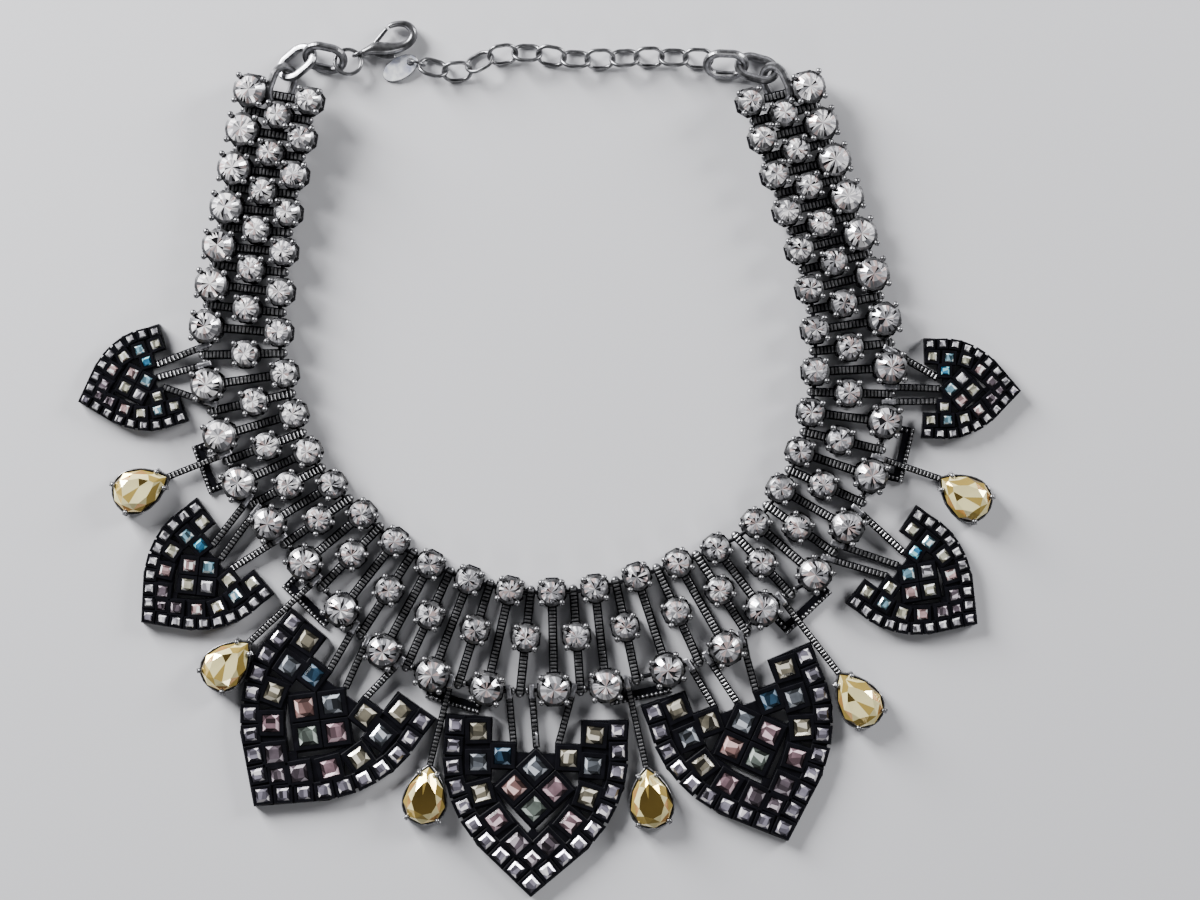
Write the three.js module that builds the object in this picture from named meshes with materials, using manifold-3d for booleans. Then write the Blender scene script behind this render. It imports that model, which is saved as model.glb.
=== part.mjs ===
// A bib necklace that lies on a surface: a collar of stone-set bars, seven mosaic panels and six pear drops
// on its outer cord, curb chains at both ends, a clasp with a sprung lever and an extension chain with a tag.
// Millimetres, +X to the right, +Y towards the clasp, +Z up from the surface.

import * as THREE from 'three';
import { mergeVertices } from 'three/addons/utils/BufferGeometryUtils.js';
import Module from 'manifold-3d';

const wasm = await Module();
wasm.setup();

// General fits
const CLEARANCE = 0.3;

// How far a corner on a flat face may be moved when corners that it doesn't need are merged
const FLATNESS = 0.002;

// Collar bars
const BAR_WIDTH = 1.9;
const BAR_HEIGHT = 2.8;
const LONG_BAR_COUNT = 33;
const SHORT_BAR_OUTER_REACH = 2;
const SHORT_BAR_INNER_REACH = 1.9;
const SHORT_BAR_STONE_SHARE = 0.46;

// Round stones in their deep cups
const STONE_SIDES = 8;
const SMALL_CUP_DIAMETER = 7.5;
const LARGE_CUP_DIAMETER = 9;
const CUP_HEIGHT = 5;
const CUP_FOOT_SHARE = 0.7;
const CUP_CORNER = 1.03;
const CROWN_HEIGHT = 1.4;
const TABLE_SHARE = 0.56;

// Outer cord, which threads every bar and carries panels and drops
const CORD_DIAMETER = 1.2;
const CORD_SIDES = 4;
const CORD_STEPS_PER_BAR = 3;
const CORD_HEIGHT = 1.9;

// The bars' route round the neck: columns are the long bar's number, its small stone's x and y,
// its large stone's x and y
const BAR_STATIONS = [
  [1, -63.7, 95.7, -79.7, 98.7],
  [4, -69.7, 66.0, -86.4, 67.6],
  [7, -72.4, 33.9, -92.1, 35.5],
  [8, -71.0, 22.8, -91.8, 19.8],
  [10, -64.8, 1.8, -83.4, -6.6],
  [12, -50.2, -15.0, -65.9, -28.2],
  [14, -31.9, -28.5, -44.6, -52.0],
  [16, -10.5, -35.5, -16.7, -62.0],
  [17, 0.8, -36.0, 1.4, -62.2],
  [18, 12.4, -35.0, 15.4, -61.2],
  [20, 34.8, -28.2, 47.8, -51.2],
  [21, 45.1, -24.2, 57.5, -40.6],
  [22, 55.6, -17.4, 71.6, -31.2],
  [24, 67.5, 1.8, 86.7, -4.7],
  [26, 71.6, 23.4, 91.8, 24.4],
  [28, 69.9, 45.5, 86.9, 49.5],
  [30, 63.7, 66.3, 79.9, 70.3],
  [33, 53.7, 95.4, 69.4, 99.5],
];

// The arms lean outwards and their last bars ride up on the chains' end links
const LEAN_DEG = 6;
const LEAN_BARS = 12;
const END_LIFT = 2.4;
const END_LIFT_BARS = 3.5;

// Mosaic panels
const PANEL_HALF_WIDTH = 26;
const PANEL_LENGTH = 50;
const PLATE_THICKNESS = 2.4;
const TILE_HEIGHT = 0.8;
const TILE_SEAT = 0.4;
const TILE_TABLE_SHARE = 0.6;
const BORDER_TILE = 3.9;
const ROW_TILE = 5.1;
const DIAMOND_TILE = 5.6;
const TILE_RIM = 1.25;
const BORDER_RIM = 0.95;
const GAP_WIDTH = 2.2;
const WEDGE_GAPS = [1, 2];
const ROW_TILES_PER_SIDE = 5;
const OUTLINE_SHARES = [0, 0.3, 0.65];

// A panel's border row from the shoulder to the tip: shares of the half width and of the length
const BORDER_ROUTE = [
  [0.842, 0.326],
  [0.85, 0.096],
  [0.715, -0.122],
  [0.458, -0.3],
  [0, -0.512],
];

// The second row, inside the border, in the same shares
const ROW_ROUTE = [
  [0.604, 0.298],
  [0.562, -0.018],
  [0.388, -0.172],
  [0.162, -0.296],
];

// The stones inside the rows, and half the width of a stone with its rim
const DIAMOND_SPACING = 2.1;
const INNER_TILE = { x: 0.342 * PANEL_HALF_WIDTH, y: 0.169 * PANEL_LENGTH };
const BORDER_HALF = BORDER_TILE / 2 + BORDER_RIM;
const ROW_HALF = ROW_TILE / 2 + TILE_RIM;
const DIAMOND_OFFSET = (DIAMOND_TILE + DIAMOND_SPACING) / Math.SQRT2;
const DIAMOND_CORNER = DIAMOND_OFFSET + DIAMOND_TILE / Math.SQRT2 + TILE_RIM * Math.SQRT2;
const BRIDGE_TOP = INNER_TILE.y + 1;
const BRIDGE_HALF = 0.75;

// The panels: the middle of the line between the shoulders' border stones, scale, heading in degrees clockwise from
// straight down, and the short bar beside which the first hanger sits
const PANELS = [
  { name: 'panel_left_small', x: -102.6, y: 22.7, scale: 0.554, heading: 73.1, bar: 7 },
  { name: 'panel_left_medium', x: -85.9, y: -24.7, scale: 0.675, heading: 50.9, bar: 10 },
  { name: 'panel_left_large', x: -51.7, y: -57.4, scale: 1, heading: 37.4, bar: 13 },
  { name: 'panel_center', x: -3.3, y: -72.5, scale: 1, heading: 2, bar: 16 },
  { name: 'panel_right_large', x: 48.6, y: -60.7, scale: 0.99, heading: -20.5, bar: 19 },
  { name: 'panel_right_medium', x: 91.0, y: -26.9, scale: 0.66, heading: -54.2, bar: 22 },
  { name: 'panel_right_small', x: 102.3, y: 18.9, scale: 0.545, heading: -88.5, bar: 25 },
];

// Hangers between the cord and the panels
const HANGER_WIDTH = 0.7;
const HANGER_HEIGHT = 1.5;
const HANGER_GAP = 0.7;
const HANGER_FOOT_SHARE = 0.7;
const EYE_WALL = 0.6;
const EYE_SIDES = 6;
const EYE_HOLE_SIDES = 4;
const HANGER_NAMES = ['first', 'middle', 'last'];

// Pear drops: the pointed and the round end of each stone, the short bar that it hangs
// beside and its bracket's reach from the cord
const DROPS = [
  { name: 'drop_left_outer', point: [-102.1, -4.7], end: [-117.2, -11.5], bar: 9, reach: 8.3 },
  { name: 'drop_left_middle', point: [-80.4, -49.1], end: [-92.1, -61.2], bar: 12, reach: 8 },
  { name: 'drop_left_inner', point: [-32.1, -82.2], end: [-34.3, -98.7], bar: 15, reach: 6.8 },
  { name: 'drop_right_inner', point: [26.2, -82.8], end: [28.5, -99.8], bar: 18, reach: 5.9 },
  { name: 'drop_right_middle', point: [77.9, -57.5], end: [87.8, -71.7], bar: 21, reach: 8 },
  { name: 'drop_right_outer', point: [105.0, -5.0], end: [118.3, -14.7], bar: 24, reach: 8.3 },
];
const PEAR_WIDTH = 12.2;
const PEAR_SIDES = 10;
const PEAR_HEIGHT = 3.4;
const PEAR_TABLE_SHARE = 0.58;
const PEAR_BACK = 2.2;
const PEAR_CENTRE_SHARE = 0.58;
const PEAR_PAVILION_SHARE = 0.86;
const PEAR_PAVILION = 1;
const PEAR_INSET = 0.5;
const DROP_BAR_SEAT = 1;

// Brackets between two large stones, under a drop's bar
const BRACKET_STRIP = 2.8;
const BRACKET_ARM = 2;
const BRACKET_HEIGHT = 0.9;

// Curb links: one soldered to each end bar, and the chains that go on from it
const CURB_LINK = { length: 12.5, width: 9.6, wire: 2.1, sides: 5, segments: 10 };
const LEFT_END_LINK = { x: -71.9, y: 100.3, heading: 70, roll: 45 };
const RIGHT_END_LINK = { x: 61.2, y: 100.6, heading: 115, roll: -45 };

// The links after the soldered ones: each is reached from the one before by a bearing and a share of the link's length
const CURB_LEFT = [
  { bearing: 56.9, reach: 0.601, heading: 40, roll: -35 },
  { bearing: 9.0, reach: 0.616, heading: -12, roll: 45 },
];
const CURB_RIGHT = [
  { bearing: 139.8, reach: 0.545, heading: 165, roll: 35 },
  { bearing: 173.2, reach: 0.677, heading: 178, roll: -45 },
];

// Extension chain: the route that the middles of its links follow, and the last link's place
const CHAIN_LINK = { length: 8.6, width: 6.8, wire: 1.1, sides: 5, segments: 10 };
const CHAIN_ROLL_DEG = 40;
const CHAIN_PITCH = 6.6;
const CHAIN_LINKS = 12;
const CHAIN_ROUTE = [
  [40.2, 107.7],
  [27.5, 108.1],
  [8.1, 107.5],
  [-5, 109.2],
  [-15.4, 108.2],
  [-24.5, 104.2],
  [-34, 106],
];

// Tag and its small ring
const TAG_RING = { length: 5, width: 5, wire: 0.7, sides: 5, segments: 10 };
const TAG_RING_REACH = 0.75;
const TAG_LENGTH = 10.4;
const TAG_WIDTH = 6;
const TAG_THICKNESS = 0.6;
const TAG_SIDES = 12;
const TAG_HOLE = 2.2;
const TAG_RIM = 0.8;
const TAG_HEADING_DEG = 209;
const TAG_RISE = TAG_RING.wire + CLEARANCE;

// Jump ring between the left curb chain and the clasp
const JUMP_RING = { length: 8.2, width: 8.2, wire: 0.95, sides: 5, segments: 10 };
const JUMP_RING_PLACE = { x: -54, y: 106.75, z: 3, heading: 25, pitch: 13, roll: -10 };

// Clasp: its base's place and heading, its body's outline from the base round the hook to the gate's seat and
// back along the hole, and its lever
const CLASP_PLACE = { x: -50.2, y: 109.5, heading: 22.8 };
const CLASP_THICKNESS = 4;
const CLASP_OUTLINE = [
  [0, -1.2],
  [3.8, -2.1],
  [8.3, -3.6],
  [11.6, -3.6],
  [14.3, -2.7],
  [15.7, -0.8],
  [15.5, 1.4],
  [13.9, 3.4],
  [10.9, 4.4],
  [8.9, 4.1],
  [8.9, 2.8],
  [11.3, 2.4],
  [13.2, 1.1],
  [13.6, -0.6],
  [12.4, -1.9],
  [10.7, -1.9],
  [8.8, -1.1],
  [6.4, -0.2],
  [4.6, 0.9],
  [2.4, 1.6],
  [0, 0.8],
];
const SLOT_START = 1.1;
const SLOT_END = 6.6;
const PIVOT_X = 2.9;
const PIVOT_Y = 0;
const PIN_DIAMETER = 1;
const PIN_SIDES = 12;
const LEVER_THICKNESS = 1;
const LEVER_OUTLINE = [
  [1.7, -0.6],
  [2.4, -2.7],
  [7.6, -5],
  [7.9, -4.4],
  [3.9, -2.4],
  [3.9, -0.6],
  [5.4, 1.3],
  [8.6, 2.9],
  [8, 3.6],
  [4.2, 2.3],
  [2.5, 1.3],
  [1.7, 0.6],
];
const SWIVEL_EYE = { length: 3.7, width: 3.7, wire: 0.9, sides: 5, segments: 10 };
const SWIVEL_REACH = 1.3;

// Faceted solids

function closedSolid(geometry) {
  const bare = geometry.clone();
  bare.deleteAttribute('normal');
  bare.deleteAttribute('uv');
  const merged = mergeVertices(bare, 1e-4);
  const corners = merged.getAttribute('position').array;
  const kept = [];
  const index = merged.getIndex().array;
  for (let i = 0; i < index.length; i += 3) {
    const [a, b, c] = [index[i], index[i + 1], index[i + 2]];
    if (a !== b && b !== c && a !== c) kept.push(a, b, c);
  }
  const mesh = new wasm.Mesh({
    numProp: 3,
    vertProperties: Float32Array.from(corners),
    triVerts: Uint32Array.from(kept),
  });
  return new wasm.Manifold(mesh);
}

function fuse(solids) {
  return solids.reduce((whole, next) => whole.add(next));
}

function toGeometry(solid) {
  const mesh = solid.getMesh();
  const geometry = new THREE.BufferGeometry();
  geometry.setAttribute('position', new THREE.BufferAttribute(Float32Array.from(mesh.vertProperties), 3));
  geometry.setIndex(new THREE.BufferAttribute(Uint32Array.from(mesh.triVerts), 1));
  geometry.computeVertexNormals();
  return geometry;
}

// A box from its lowest to its highest corner
function boxBetween(low, high) {
  const size = high.map((value, axis) => value - low[axis]);
  const middle = high.map((value, axis) => (value + low[axis]) / 2);
  return new THREE.BoxGeometry(...size).translate(...middle);
}

// A solid through outlines of equal point counts, each at its height, lowest first
function lofted(layers) {
  const count = layers[0].outline.length;
  const positions = layers.flatMap(({ outline, height }) => outline.flatMap(([x, y]) => [x, y, height]));
  const index = [];
  for (let layer = 0; layer < layers.length - 1; layer += 1) {
    for (let i = 0; i < count; i += 1) {
      const [a, b] = [layer * count + i, layer * count + ((i + 1) % count)];
      index.push(a, b, b + count, a, b + count, a + count);
    }
  }
  const top = (layers.length - 1) * count;
  for (let i = 1; i < count - 1; i += 1) index.push(0, i + 1, i, top, top + i, top + i + 1);
  const geometry = new THREE.BufferGeometry();
  geometry.setAttribute('position', new THREE.Float32BufferAttribute(positions, 3));
  geometry.setIndex(index);
  return geometry;
}

// The corners of a regular outline, turned by a share of a side; at a half its flat sides face X and Y
function circle(x, y, diameter, sides, turn = 0.5) {
  return Array.from({ length: sides }, (_, i) => {
    const angle = (2 * Math.PI * (i + turn)) / sides;
    return [x + (diameter / 2) * Math.cos(angle), y + (diameter / 2) * Math.sin(angle)];
  });
}

// A stone of regular outline about the Z axis, from [diameter over the corners, height] pairs
function cutStone(levels, sides) {
  return closedSolid(lofted(levels.map(([diameter, height]) => ({ outline: circle(0, 0, diameter, sides), height }))));
}

// A plan outline raised from one height to another
function raised(outline, bottom, top, holes = []) {
  const shape = new THREE.Shape(outline.map(([x, y]) => new THREE.Vector2(x, y)));
  shape.holes = holes.map((hole) => new THREE.Path(hole.map(([x, y]) => new THREE.Vector2(x, y))));
  const geometry = new THREE.ExtrudeGeometry(shape, { depth: top - bottom, bevelEnabled: false, steps: 1 });
  return geometry.translate(0, 0, bottom);
}

function placed(geometry, matrix) {
  return geometry.clone().applyMatrix4(matrix);
}

// Places on the collar

function mix(a, b, share) {
  return a + (b - a) * share;
}

// A smooth curve through the stations, at any bar number
function routeAt(bar) {
  const last = BAR_STATIONS.length - 1;
  let from = 0;
  while (from < last - 1 && BAR_STATIONS[from + 1][0] <= bar) from += 1;
  const slope = (row, column) => {
    const before = BAR_STATIONS[Math.max(row - 1, 0)];
    const after = BAR_STATIONS[Math.min(row + 1, last)];
    return (after[column] - before[column]) / (after[0] - before[0]);
  };
  const [start, end] = [BAR_STATIONS[from], BAR_STATIONS[from + 1]];
  const span = end[0] - start[0];
  const s = (bar - start[0]) / span;
  const value = (column) =>
    (2 * s ** 3 - 3 * s ** 2 + 1) * start[column] +
    (s ** 3 - 2 * s ** 2 + s) * span * slope(from, column) +
    (3 * s ** 2 - 2 * s ** 3) * end[column] +
    (s ** 3 - s ** 2) * span * slope(from + 1, column);
  return { inner: new THREE.Vector2(value(1), value(2)), outer: new THREE.Vector2(value(3), value(4)) };
}

function barLength(bar) {
  const { inner, outer } = routeAt(bar);
  return inner.distanceTo(outer);
}

// A bar's own frame: the origin under its large stone, X outwards, Y along the collar, Z up
function barFrame(bar) {
  const { inner, outer } = routeAt(bar);
  const out = outer.clone().sub(inner).normalize();
  const fromEnd = Math.min(bar - 1, LONG_BAR_COUNT - bar);
  const leanShare = fromEnd < LEAN_BARS ? Math.cos((Math.PI / 2) * (fromEnd / LEAN_BARS)) ** 2 : 0;
  const liftShare = fromEnd < END_LIFT_BARS ? (1 - fromEnd / END_LIFT_BARS) ** 2 : 0;
  const frame = new THREE.Matrix4().makeBasis(
    new THREE.Vector3(out.x, out.y, 0),
    new THREE.Vector3(-out.y, out.x, 0),
    new THREE.Vector3(0, 0, 1),
  );
  frame.setPosition(outer.x, outer.y, END_LIFT * liftShare);
  const foot = (LARGE_CUP_DIAMETER / 2) * CUP_FOOT_SHARE;
  const lean = THREE.MathUtils.degToRad(LEAN_DEG * leanShare);
  frame.multiply(new THREE.Matrix4().makeTranslation(foot, 0, 0));
  frame.multiply(new THREE.Matrix4().makeRotationY(lean));
  return frame.multiply(new THREE.Matrix4().makeTranslation(-foot, 0, 0));
}

function cordPoint(bar) {
  return new THREE.Vector3(0, 0, CORD_HEIGHT).applyMatrix4(barFrame(bar));
}

class OuterCord extends THREE.Curve {
  constructor(firstBar, lastBar) {
    super();
    this.firstBar = firstBar;
    this.lastBar = lastBar;
  }

  getPoint(share) {
    return cordPoint(mix(this.firstBar, this.lastBar, share));
  }
}

// Collar

// A tapered cup with the crown and table of its stone
function roundStone(diameter) {
  const corners = diameter / Math.cos(Math.PI / STONE_SIDES / 2);
  const levels = [
    [corners * CUP_FOOT_SHARE, 0],
    [corners, CUP_HEIGHT],
    [corners * TABLE_SHARE, CUP_HEIGHT + CROWN_HEIGHT],
  ];
  return cutStone(levels, STONE_SIDES);
}

const LARGE_STONE = roundStone(LARGE_CUP_DIAMETER);
const SMALL_STONE = roundStone(SMALL_CUP_DIAMETER);

function barBox(innerX, outerX) {
  return closedSolid(boxBetween([innerX, -BAR_WIDTH / 2, 0], [outerX, BAR_WIDTH / 2, BAR_HEIGHT]));
}

function longBar(bar) {
  const length = barLength(bar);
  const smallStone = SMALL_STONE.translate([-length, 0, 0]);
  return barBox(-length, 0).add(LARGE_STONE).add(smallStone).transform(barFrame(bar).elements);
}

function shortBar(bar) {
  const length = barLength(bar);
  const stone = SMALL_STONE.translate([-length * (1 - SHORT_BAR_STONE_SHARE), 0, 0]);
  const box = barBox(-length - SHORT_BAR_INNER_REACH, SHORT_BAR_OUTER_REACH);
  return box.add(stone).transform(barFrame(bar).elements);
}

function roundSection(diameter, sides) {
  const points = [];
  for (let i = 0; i < sides; i += 1) {
    const angle = (2 * Math.PI * i) / sides;
    points.push(new THREE.Vector2(Math.cos(angle), Math.sin(angle)).multiplyScalar(diameter / 2));
  }
  return new THREE.Shape(points);
}

function cordBetween(firstBar, lastBar) {
  const steps = Math.round((lastBar - firstBar) * CORD_STEPS_PER_BAR);
  const extrudePath = new OuterCord(firstBar, lastBar);
  return closedSolid(
    new THREE.ExtrudeGeometry(roundSection(CORD_DIAMETER, CORD_SIDES), { extrudePath, steps, bevelEnabled: false }),
  );
}

function collarHalf(firstBar, lastBar, cordStart, cordEnd) {
  const solids = [cordBetween(cordStart, cordEnd)];
  for (let bar = firstBar; bar <= lastBar; bar += 1) solids.push(longBar(bar));
  for (let bar = Math.ceil(cordStart - 0.5) + 0.5; bar < cordEnd; bar += 1) solids.push(shortBar(bar));
  return fuse(solids);
}

// Mosaic panels, in a panel's own frame: origin at the diamond's centre, X across, Y away from the tip

function rowCurve(route) {
  const points = route.map(([x, y]) => new THREE.Vector2(x * PANEL_HALF_WIDTH, y * PANEL_LENGTH));
  return new THREE.SplineCurve(points);
}

// A point beside a row: positive offsets lie towards the outline
function besideRow(curve, share, offset, along = 0) {
  const point = curve.getPointAt(share);
  const tangent = curve.getTangentAt(share);
  const outwards = new THREE.Vector2(-tangent.y, tangent.x);
  return point.addScaledVector(outwards, offset).addScaledVector(tangent, along);
}

// The right half of the outline, from the middle of the top round to the tip
function halfOutline() {
  const border = rowCurve(BORDER_ROUTE);
  const row = rowCurve(ROW_ROUTE);
  const shoulder = besideRow(border, 0, BORDER_HALF, -BORDER_HALF);
  const rowTop = row.getPointAt(0);
  const side = OUTLINE_SHARES.map((share) => besideRow(border, share, BORDER_HALF).toArray());
  const lastPoint = besideRow(border, 0.97, BORDER_HALF);
  const lastTangent = border.getTangentAt(0.97);
  const tip = [0, lastPoint.y - (lastPoint.x * lastTangent.y) / lastTangent.x];
  return [
    [0, DIAMOND_CORNER],
    [DIAMOND_CORNER - BRIDGE_TOP, BRIDGE_TOP],
    [INNER_TILE.x - ROW_HALF, BRIDGE_TOP],
    [INNER_TILE.x - ROW_HALF, INNER_TILE.y + ROW_HALF],
    [rowTop.x - ROW_HALF, INNER_TILE.y + ROW_HALF],
    [rowTop.x - ROW_HALF, rowTop.y + ROW_HALF],
    shoulder.toArray(),
    ...side,
    tip,
  ];
}

// A cutter through the plate of a panel
function throughPlate(outline, scale) {
  const grown = outline.map(([x, y]) => [x * scale, y * scale]);
  return closedSolid(raised(grown, -PLATE_THICKNESS, 2 * PLATE_THICKNESS));
}

// The pockets on the right side, between the diamond's rim and the second row's inner side, above and below a
// bridge that joins the diamond's corner to the row
function sidePockets(scale) {
  const row = rowCurve(ROW_ROUTE);
  const [beside, ...below] = [0.2, 0.5, 0.75, 1].map((share) => besideRow(row, share, -ROW_HALF).toArray());
  const side = beside[0];
  const top = INNER_TILE.y - ROW_HALF;
  const bridgeTop = DIAMOND_CORNER - side + TILE_RIM;
  const inside = [[0, top], [side, top], [side, bridgeTop], ...below, [0, BRIDGE_HALF - DIAMOND_CORNER]];
  const reach = DIAMOND_CORNER + CLEARANCE;
  const diamond = [[reach, 0], [0, reach], [-reach, 0], [0, -reach]];
  const bridge = [[0, -2 * BRIDGE_HALF], [2 * side, -2 * BRIDGE_HALF], [2 * side, bridgeTop], [0, bridgeTop]];
  return [diamond, bridge].reduce((left, kept) => left.subtract(throughPlate(kept, scale)), throughPlate(inside, scale));
}

// Wedges between the stones of the second row
function rowWedges(scale) {
  const row = rowCurve(ROW_ROUTE);
  return WEDGE_GAPS.map((gap) => {
    const share = (gap + 0.5) / (ROW_TILES_PER_SIDE - 1);
    const wedge = [
      besideRow(row, share, -ROW_HALF * 0.2),
      besideRow(row, share, ROW_HALF * 0.85, -GAP_WIDTH / 2),
      besideRow(row, share, ROW_HALF * 0.85, GAP_WIDTH / 2),
    ];
    return throughPlate(wedge.map((point) => point.toArray()), scale);
  });
}

// A square stone whose crown has eight facets, up to a table that stands corner to side
function squareStone(side) {
  const corners = side * Math.SQRT2;
  const base = circle(0, 0, corners, 4);
  const table = circle(0, 0, corners * TILE_TABLE_SHARE, 4, 0);
  return closedSolid(
    lofted([
      { outline: base, height: -TILE_SEAT },
      { outline: base, height: 0 },
      { outline: table, height: TILE_HEIGHT },
    ]),
  );
}

// The middle stones of one panel: side, place and turn in degrees
function mosaicTiles() {
  return [-1, 1].flatMap((sign) => [
    { side: ROW_TILE, x: sign * INNER_TILE.x, y: INNER_TILE.y, turn: 0 },
    { side: DIAMOND_TILE, x: sign * DIAMOND_OFFSET, y: 0, turn: 45 },
    { side: DIAMOND_TILE, x: 0, y: sign * DIAMOND_OFFSET, turn: 45 },
  ]);
}

function mosaicPanel(scale) {
  const grow = (points) => points.map(([x, y]) => [x * scale, y * scale]);
  const cuts = fuse([sidePockets(scale), ...rowWedges(scale)]);
  const half = closedSolid(raised(grow(halfOutline()), 0, PLATE_THICKNESS)).subtract(cuts);
  const plate = half.add(half.mirror([1, 0, 0]));
  const stones = mosaicTiles().map(({ side, x, y, turn }) =>
    squareStone(side * scale)
      .rotate([0, 0, turn])
      .translate([x * scale, y * scale, PLATE_THICKNESS]),
  );
  return fuse([plate, ...stones]);
}

function panelFrame({ x, y, scale, heading }) {
  const shoulders = BORDER_ROUTE[0][1] * PANEL_LENGTH * scale;
  const frame = new THREE.Matrix4().makeTranslation(x, y, 0);
  frame.multiply(new THREE.Matrix4().makeRotationZ(THREE.MathUtils.degToRad(-heading)));
  return frame.multiply(new THREE.Matrix4().makeTranslation(0, -shoulders, 0));
}

// Hangers and drops

// Which way the cord runs at a bar, as an angle in plan
function cordHeading(bar) {
  const [before, after] = [cordPoint(bar - 0.05), cordPoint(bar + 0.05)];
  return Math.atan2(after.y - before.y, after.x - before.x);
}

// An upright eye round the cord and a straight bar from its outer side to a foot
function hangingBar(bar, foot) {
  const eye = cordPoint(bar);
  const hole = (CORD_DIAMETER + 2 * CLEARANCE) / Math.cos(Math.PI / EYE_HOLE_SIDES);
  const outer = hole + 2 * EYE_WALL;
  const disc = raised(circle(0, 0, outer, EYE_SIDES), -HANGER_WIDTH / 2, HANGER_WIDTH / 2, [
    circle(0, 0, hole, EYE_HOLE_SIDES),
  ]);
  const turn = cordHeading(bar) - Math.PI / 2;
  const across = new THREE.Matrix4().makeRotationZ(turn).setPosition(eye);
  const ring = closedSolid(disc.rotateX(Math.PI / 2)).transform(across.elements);
  const start = new THREE.Vector3((outer - EYE_WALL) / 2, 0, 0).applyMatrix4(across);
  const length = start.distanceTo(foot);
  const strip = boxBetween([0, -HANGER_WIDTH / 2, -HANGER_HEIGHT / 2], [length, HANGER_WIDTH / 2, HANGER_HEIGHT / 2]);
  const tilt = new THREE.Matrix4().makeRotationY(Math.asin((start.z - foot.z) / length));
  return ring.add(closedSolid(placed(strip, towards(start, foot).multiply(tilt))));
}

// The middle of the free stretch of cord between a short bar and the large stone before (-1) or after (1) it
function eyeBar(shortBarNumber, side) {
  const middle = shortBarNumber + 0.5;
  const stone = middle + side / 2;
  const halfPitch = routeAt(middle).outer.distanceTo(routeAt(stone).outer);
  const cup = (LARGE_CUP_DIAMETER / 2) * mix(CUP_FOOT_SHARE, 1, (CORD_HEIGHT + 1.7) / CUP_HEIGHT);
  const free = (BAR_WIDTH / 2 + (halfPitch - cup)) / 2;
  return middle + (side / 2) * (free / halfPitch);
}

function towards(from, to) {
  const frame = new THREE.Matrix4().makeRotationZ(Math.atan2(to.y - from.y, to.x - from.x));
  return frame.premultiply(new THREE.Matrix4().makeTranslation(from.x, from.y, from.z));
}

function hangerFoot(panel, index) {
  const side = index - 1;
  const x = side * INNER_TILE.x * HANGER_FOOT_SHARE * panel.scale;
  const top = (side === 0 ? DIAMOND_CORNER : INNER_TILE.y + ROW_HALF) * panel.scale;
  return new THREE.Vector3(x, top + HANGER_GAP, PLATE_THICKNESS / 2).applyMatrix4(panelFrame(panel));
}

function panelHanger(panel, index) {
  const bars = [eyeBar(panel.bar, -1), eyeBar(panel.bar, 1), eyeBar(panel.bar + 1, -1)];
  return hangingBar(bars[index], hangerFoot(panel, index));
}

// A pear outline from its point at the origin, X towards the round end
function pearOutline(length, width, inset = 0) {
  const halfWidth = (angle) => Math.sin(angle) * Math.sin(angle / 2) ** 0.75;
  const angles = Array.from({ length: PEAR_SIDES }, (_, i) => (2 * Math.PI * i) / PEAR_SIDES);
  const widest = 0.8;
  return angles.map((angle) => {
    const share = (1 - Math.cos(angle)) / 2;
    const turn = angle > Math.PI ? 2 * Math.PI - angle : angle;
    const y = ((-Math.sign(Math.sin(angle)) * halfWidth(turn)) / widest) * (width / 2 - inset);
    return [inset * 1.6 + share * (length - inset * 2.6), y];
  });
}

function shrunk(outline, share, centre) {
  return outline.map(([x, y]) => [centre + (x - centre) * share, y * share]);
}

function dropLength({ point, end }) {
  return Math.hypot(end[0] - point[0], end[1] - point[1]);
}

function dropFrame({ point, end }) {
  return towards({ x: point[0], y: point[1], z: 0 }, { x: end[0], y: end[1] });
}

function pearStone(drop) {
  const length = dropLength(drop);
  const outline = pearOutline(length, PEAR_WIDTH, PEAR_INSET);
  const bottom = PEAR_BACK + CLEARANCE;
  const centre = length * PEAR_CENTRE_SHARE;
  const girdle = bottom + PEAR_PAVILION;
  const stone = lofted([
    { outline: shrunk(outline, PEAR_PAVILION_SHARE, centre), height: bottom },
    { outline, height: girdle },
    { outline: shrunk(outline, PEAR_TABLE_SHARE, centre), height: bottom + PEAR_HEIGHT },
  ]);
  return closedSolid(stone).transform(dropFrame(drop).elements);
}

function dropSetting(drop) {
  const length = dropLength(drop);
  const frame = dropFrame(drop);
  const outline = pearOutline(length, PEAR_WIDTH);
  const back = closedSolid(raised(outline, 0, PEAR_BACK)).transform(frame.elements);
  const foot = new THREE.Vector3(DROP_BAR_SEAT, 0, BRACKET_HEIGHT + CLEARANCE + HANGER_HEIGHT / 2);
  const bar = hangingBar(eyeBar(drop.bar, -1), foot.applyMatrix4(frame));
  return fuse([back, bar]);
}

function bracket({ bar, reach }) {
  const middle = bar + 0.5;
  const frame = barFrame(middle);
  const inverse = frame.clone().invert();
  const cups = [bar, bar + 1].map((number) =>
    new THREE.Vector3().applyMatrix4(barFrame(number)).applyMatrix4(inverse),
  );
  const [low, high] = cups[0].y < cups[1].y ? cups : [cups[1], cups[0]];
  const cup = (LARGE_CUP_DIAMETER / 2) * mix(CUP_FOOT_SHARE, 1, BRACKET_HEIGHT / CUP_HEIGHT) * CUP_CORNER;
  const strip = reach - BRACKET_STRIP;
  const outline = [
    [low.x + cup + CLEARANCE, low.y],
    [reach, low.y],
    [reach, high.y],
    [high.x + cup + CLEARANCE, high.y],
    [high.x + cup + CLEARANCE, high.y - BRACKET_ARM],
    [strip, high.y - BRACKET_ARM],
    [strip, low.y + BRACKET_ARM],
    [low.x + cup + CLEARANCE, low.y + BRACKET_ARM],
  ];
  const { outer, inner } = routeAt(middle);
  const flat = towards({ x: outer.x, y: outer.y, z: 0 }, { x: 2 * outer.x - inner.x, y: 2 * outer.y - inner.y });
  return closedSolid(raised(outline, 0, BRACKET_HEIGHT)).transform(flat.elements);
}

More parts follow.
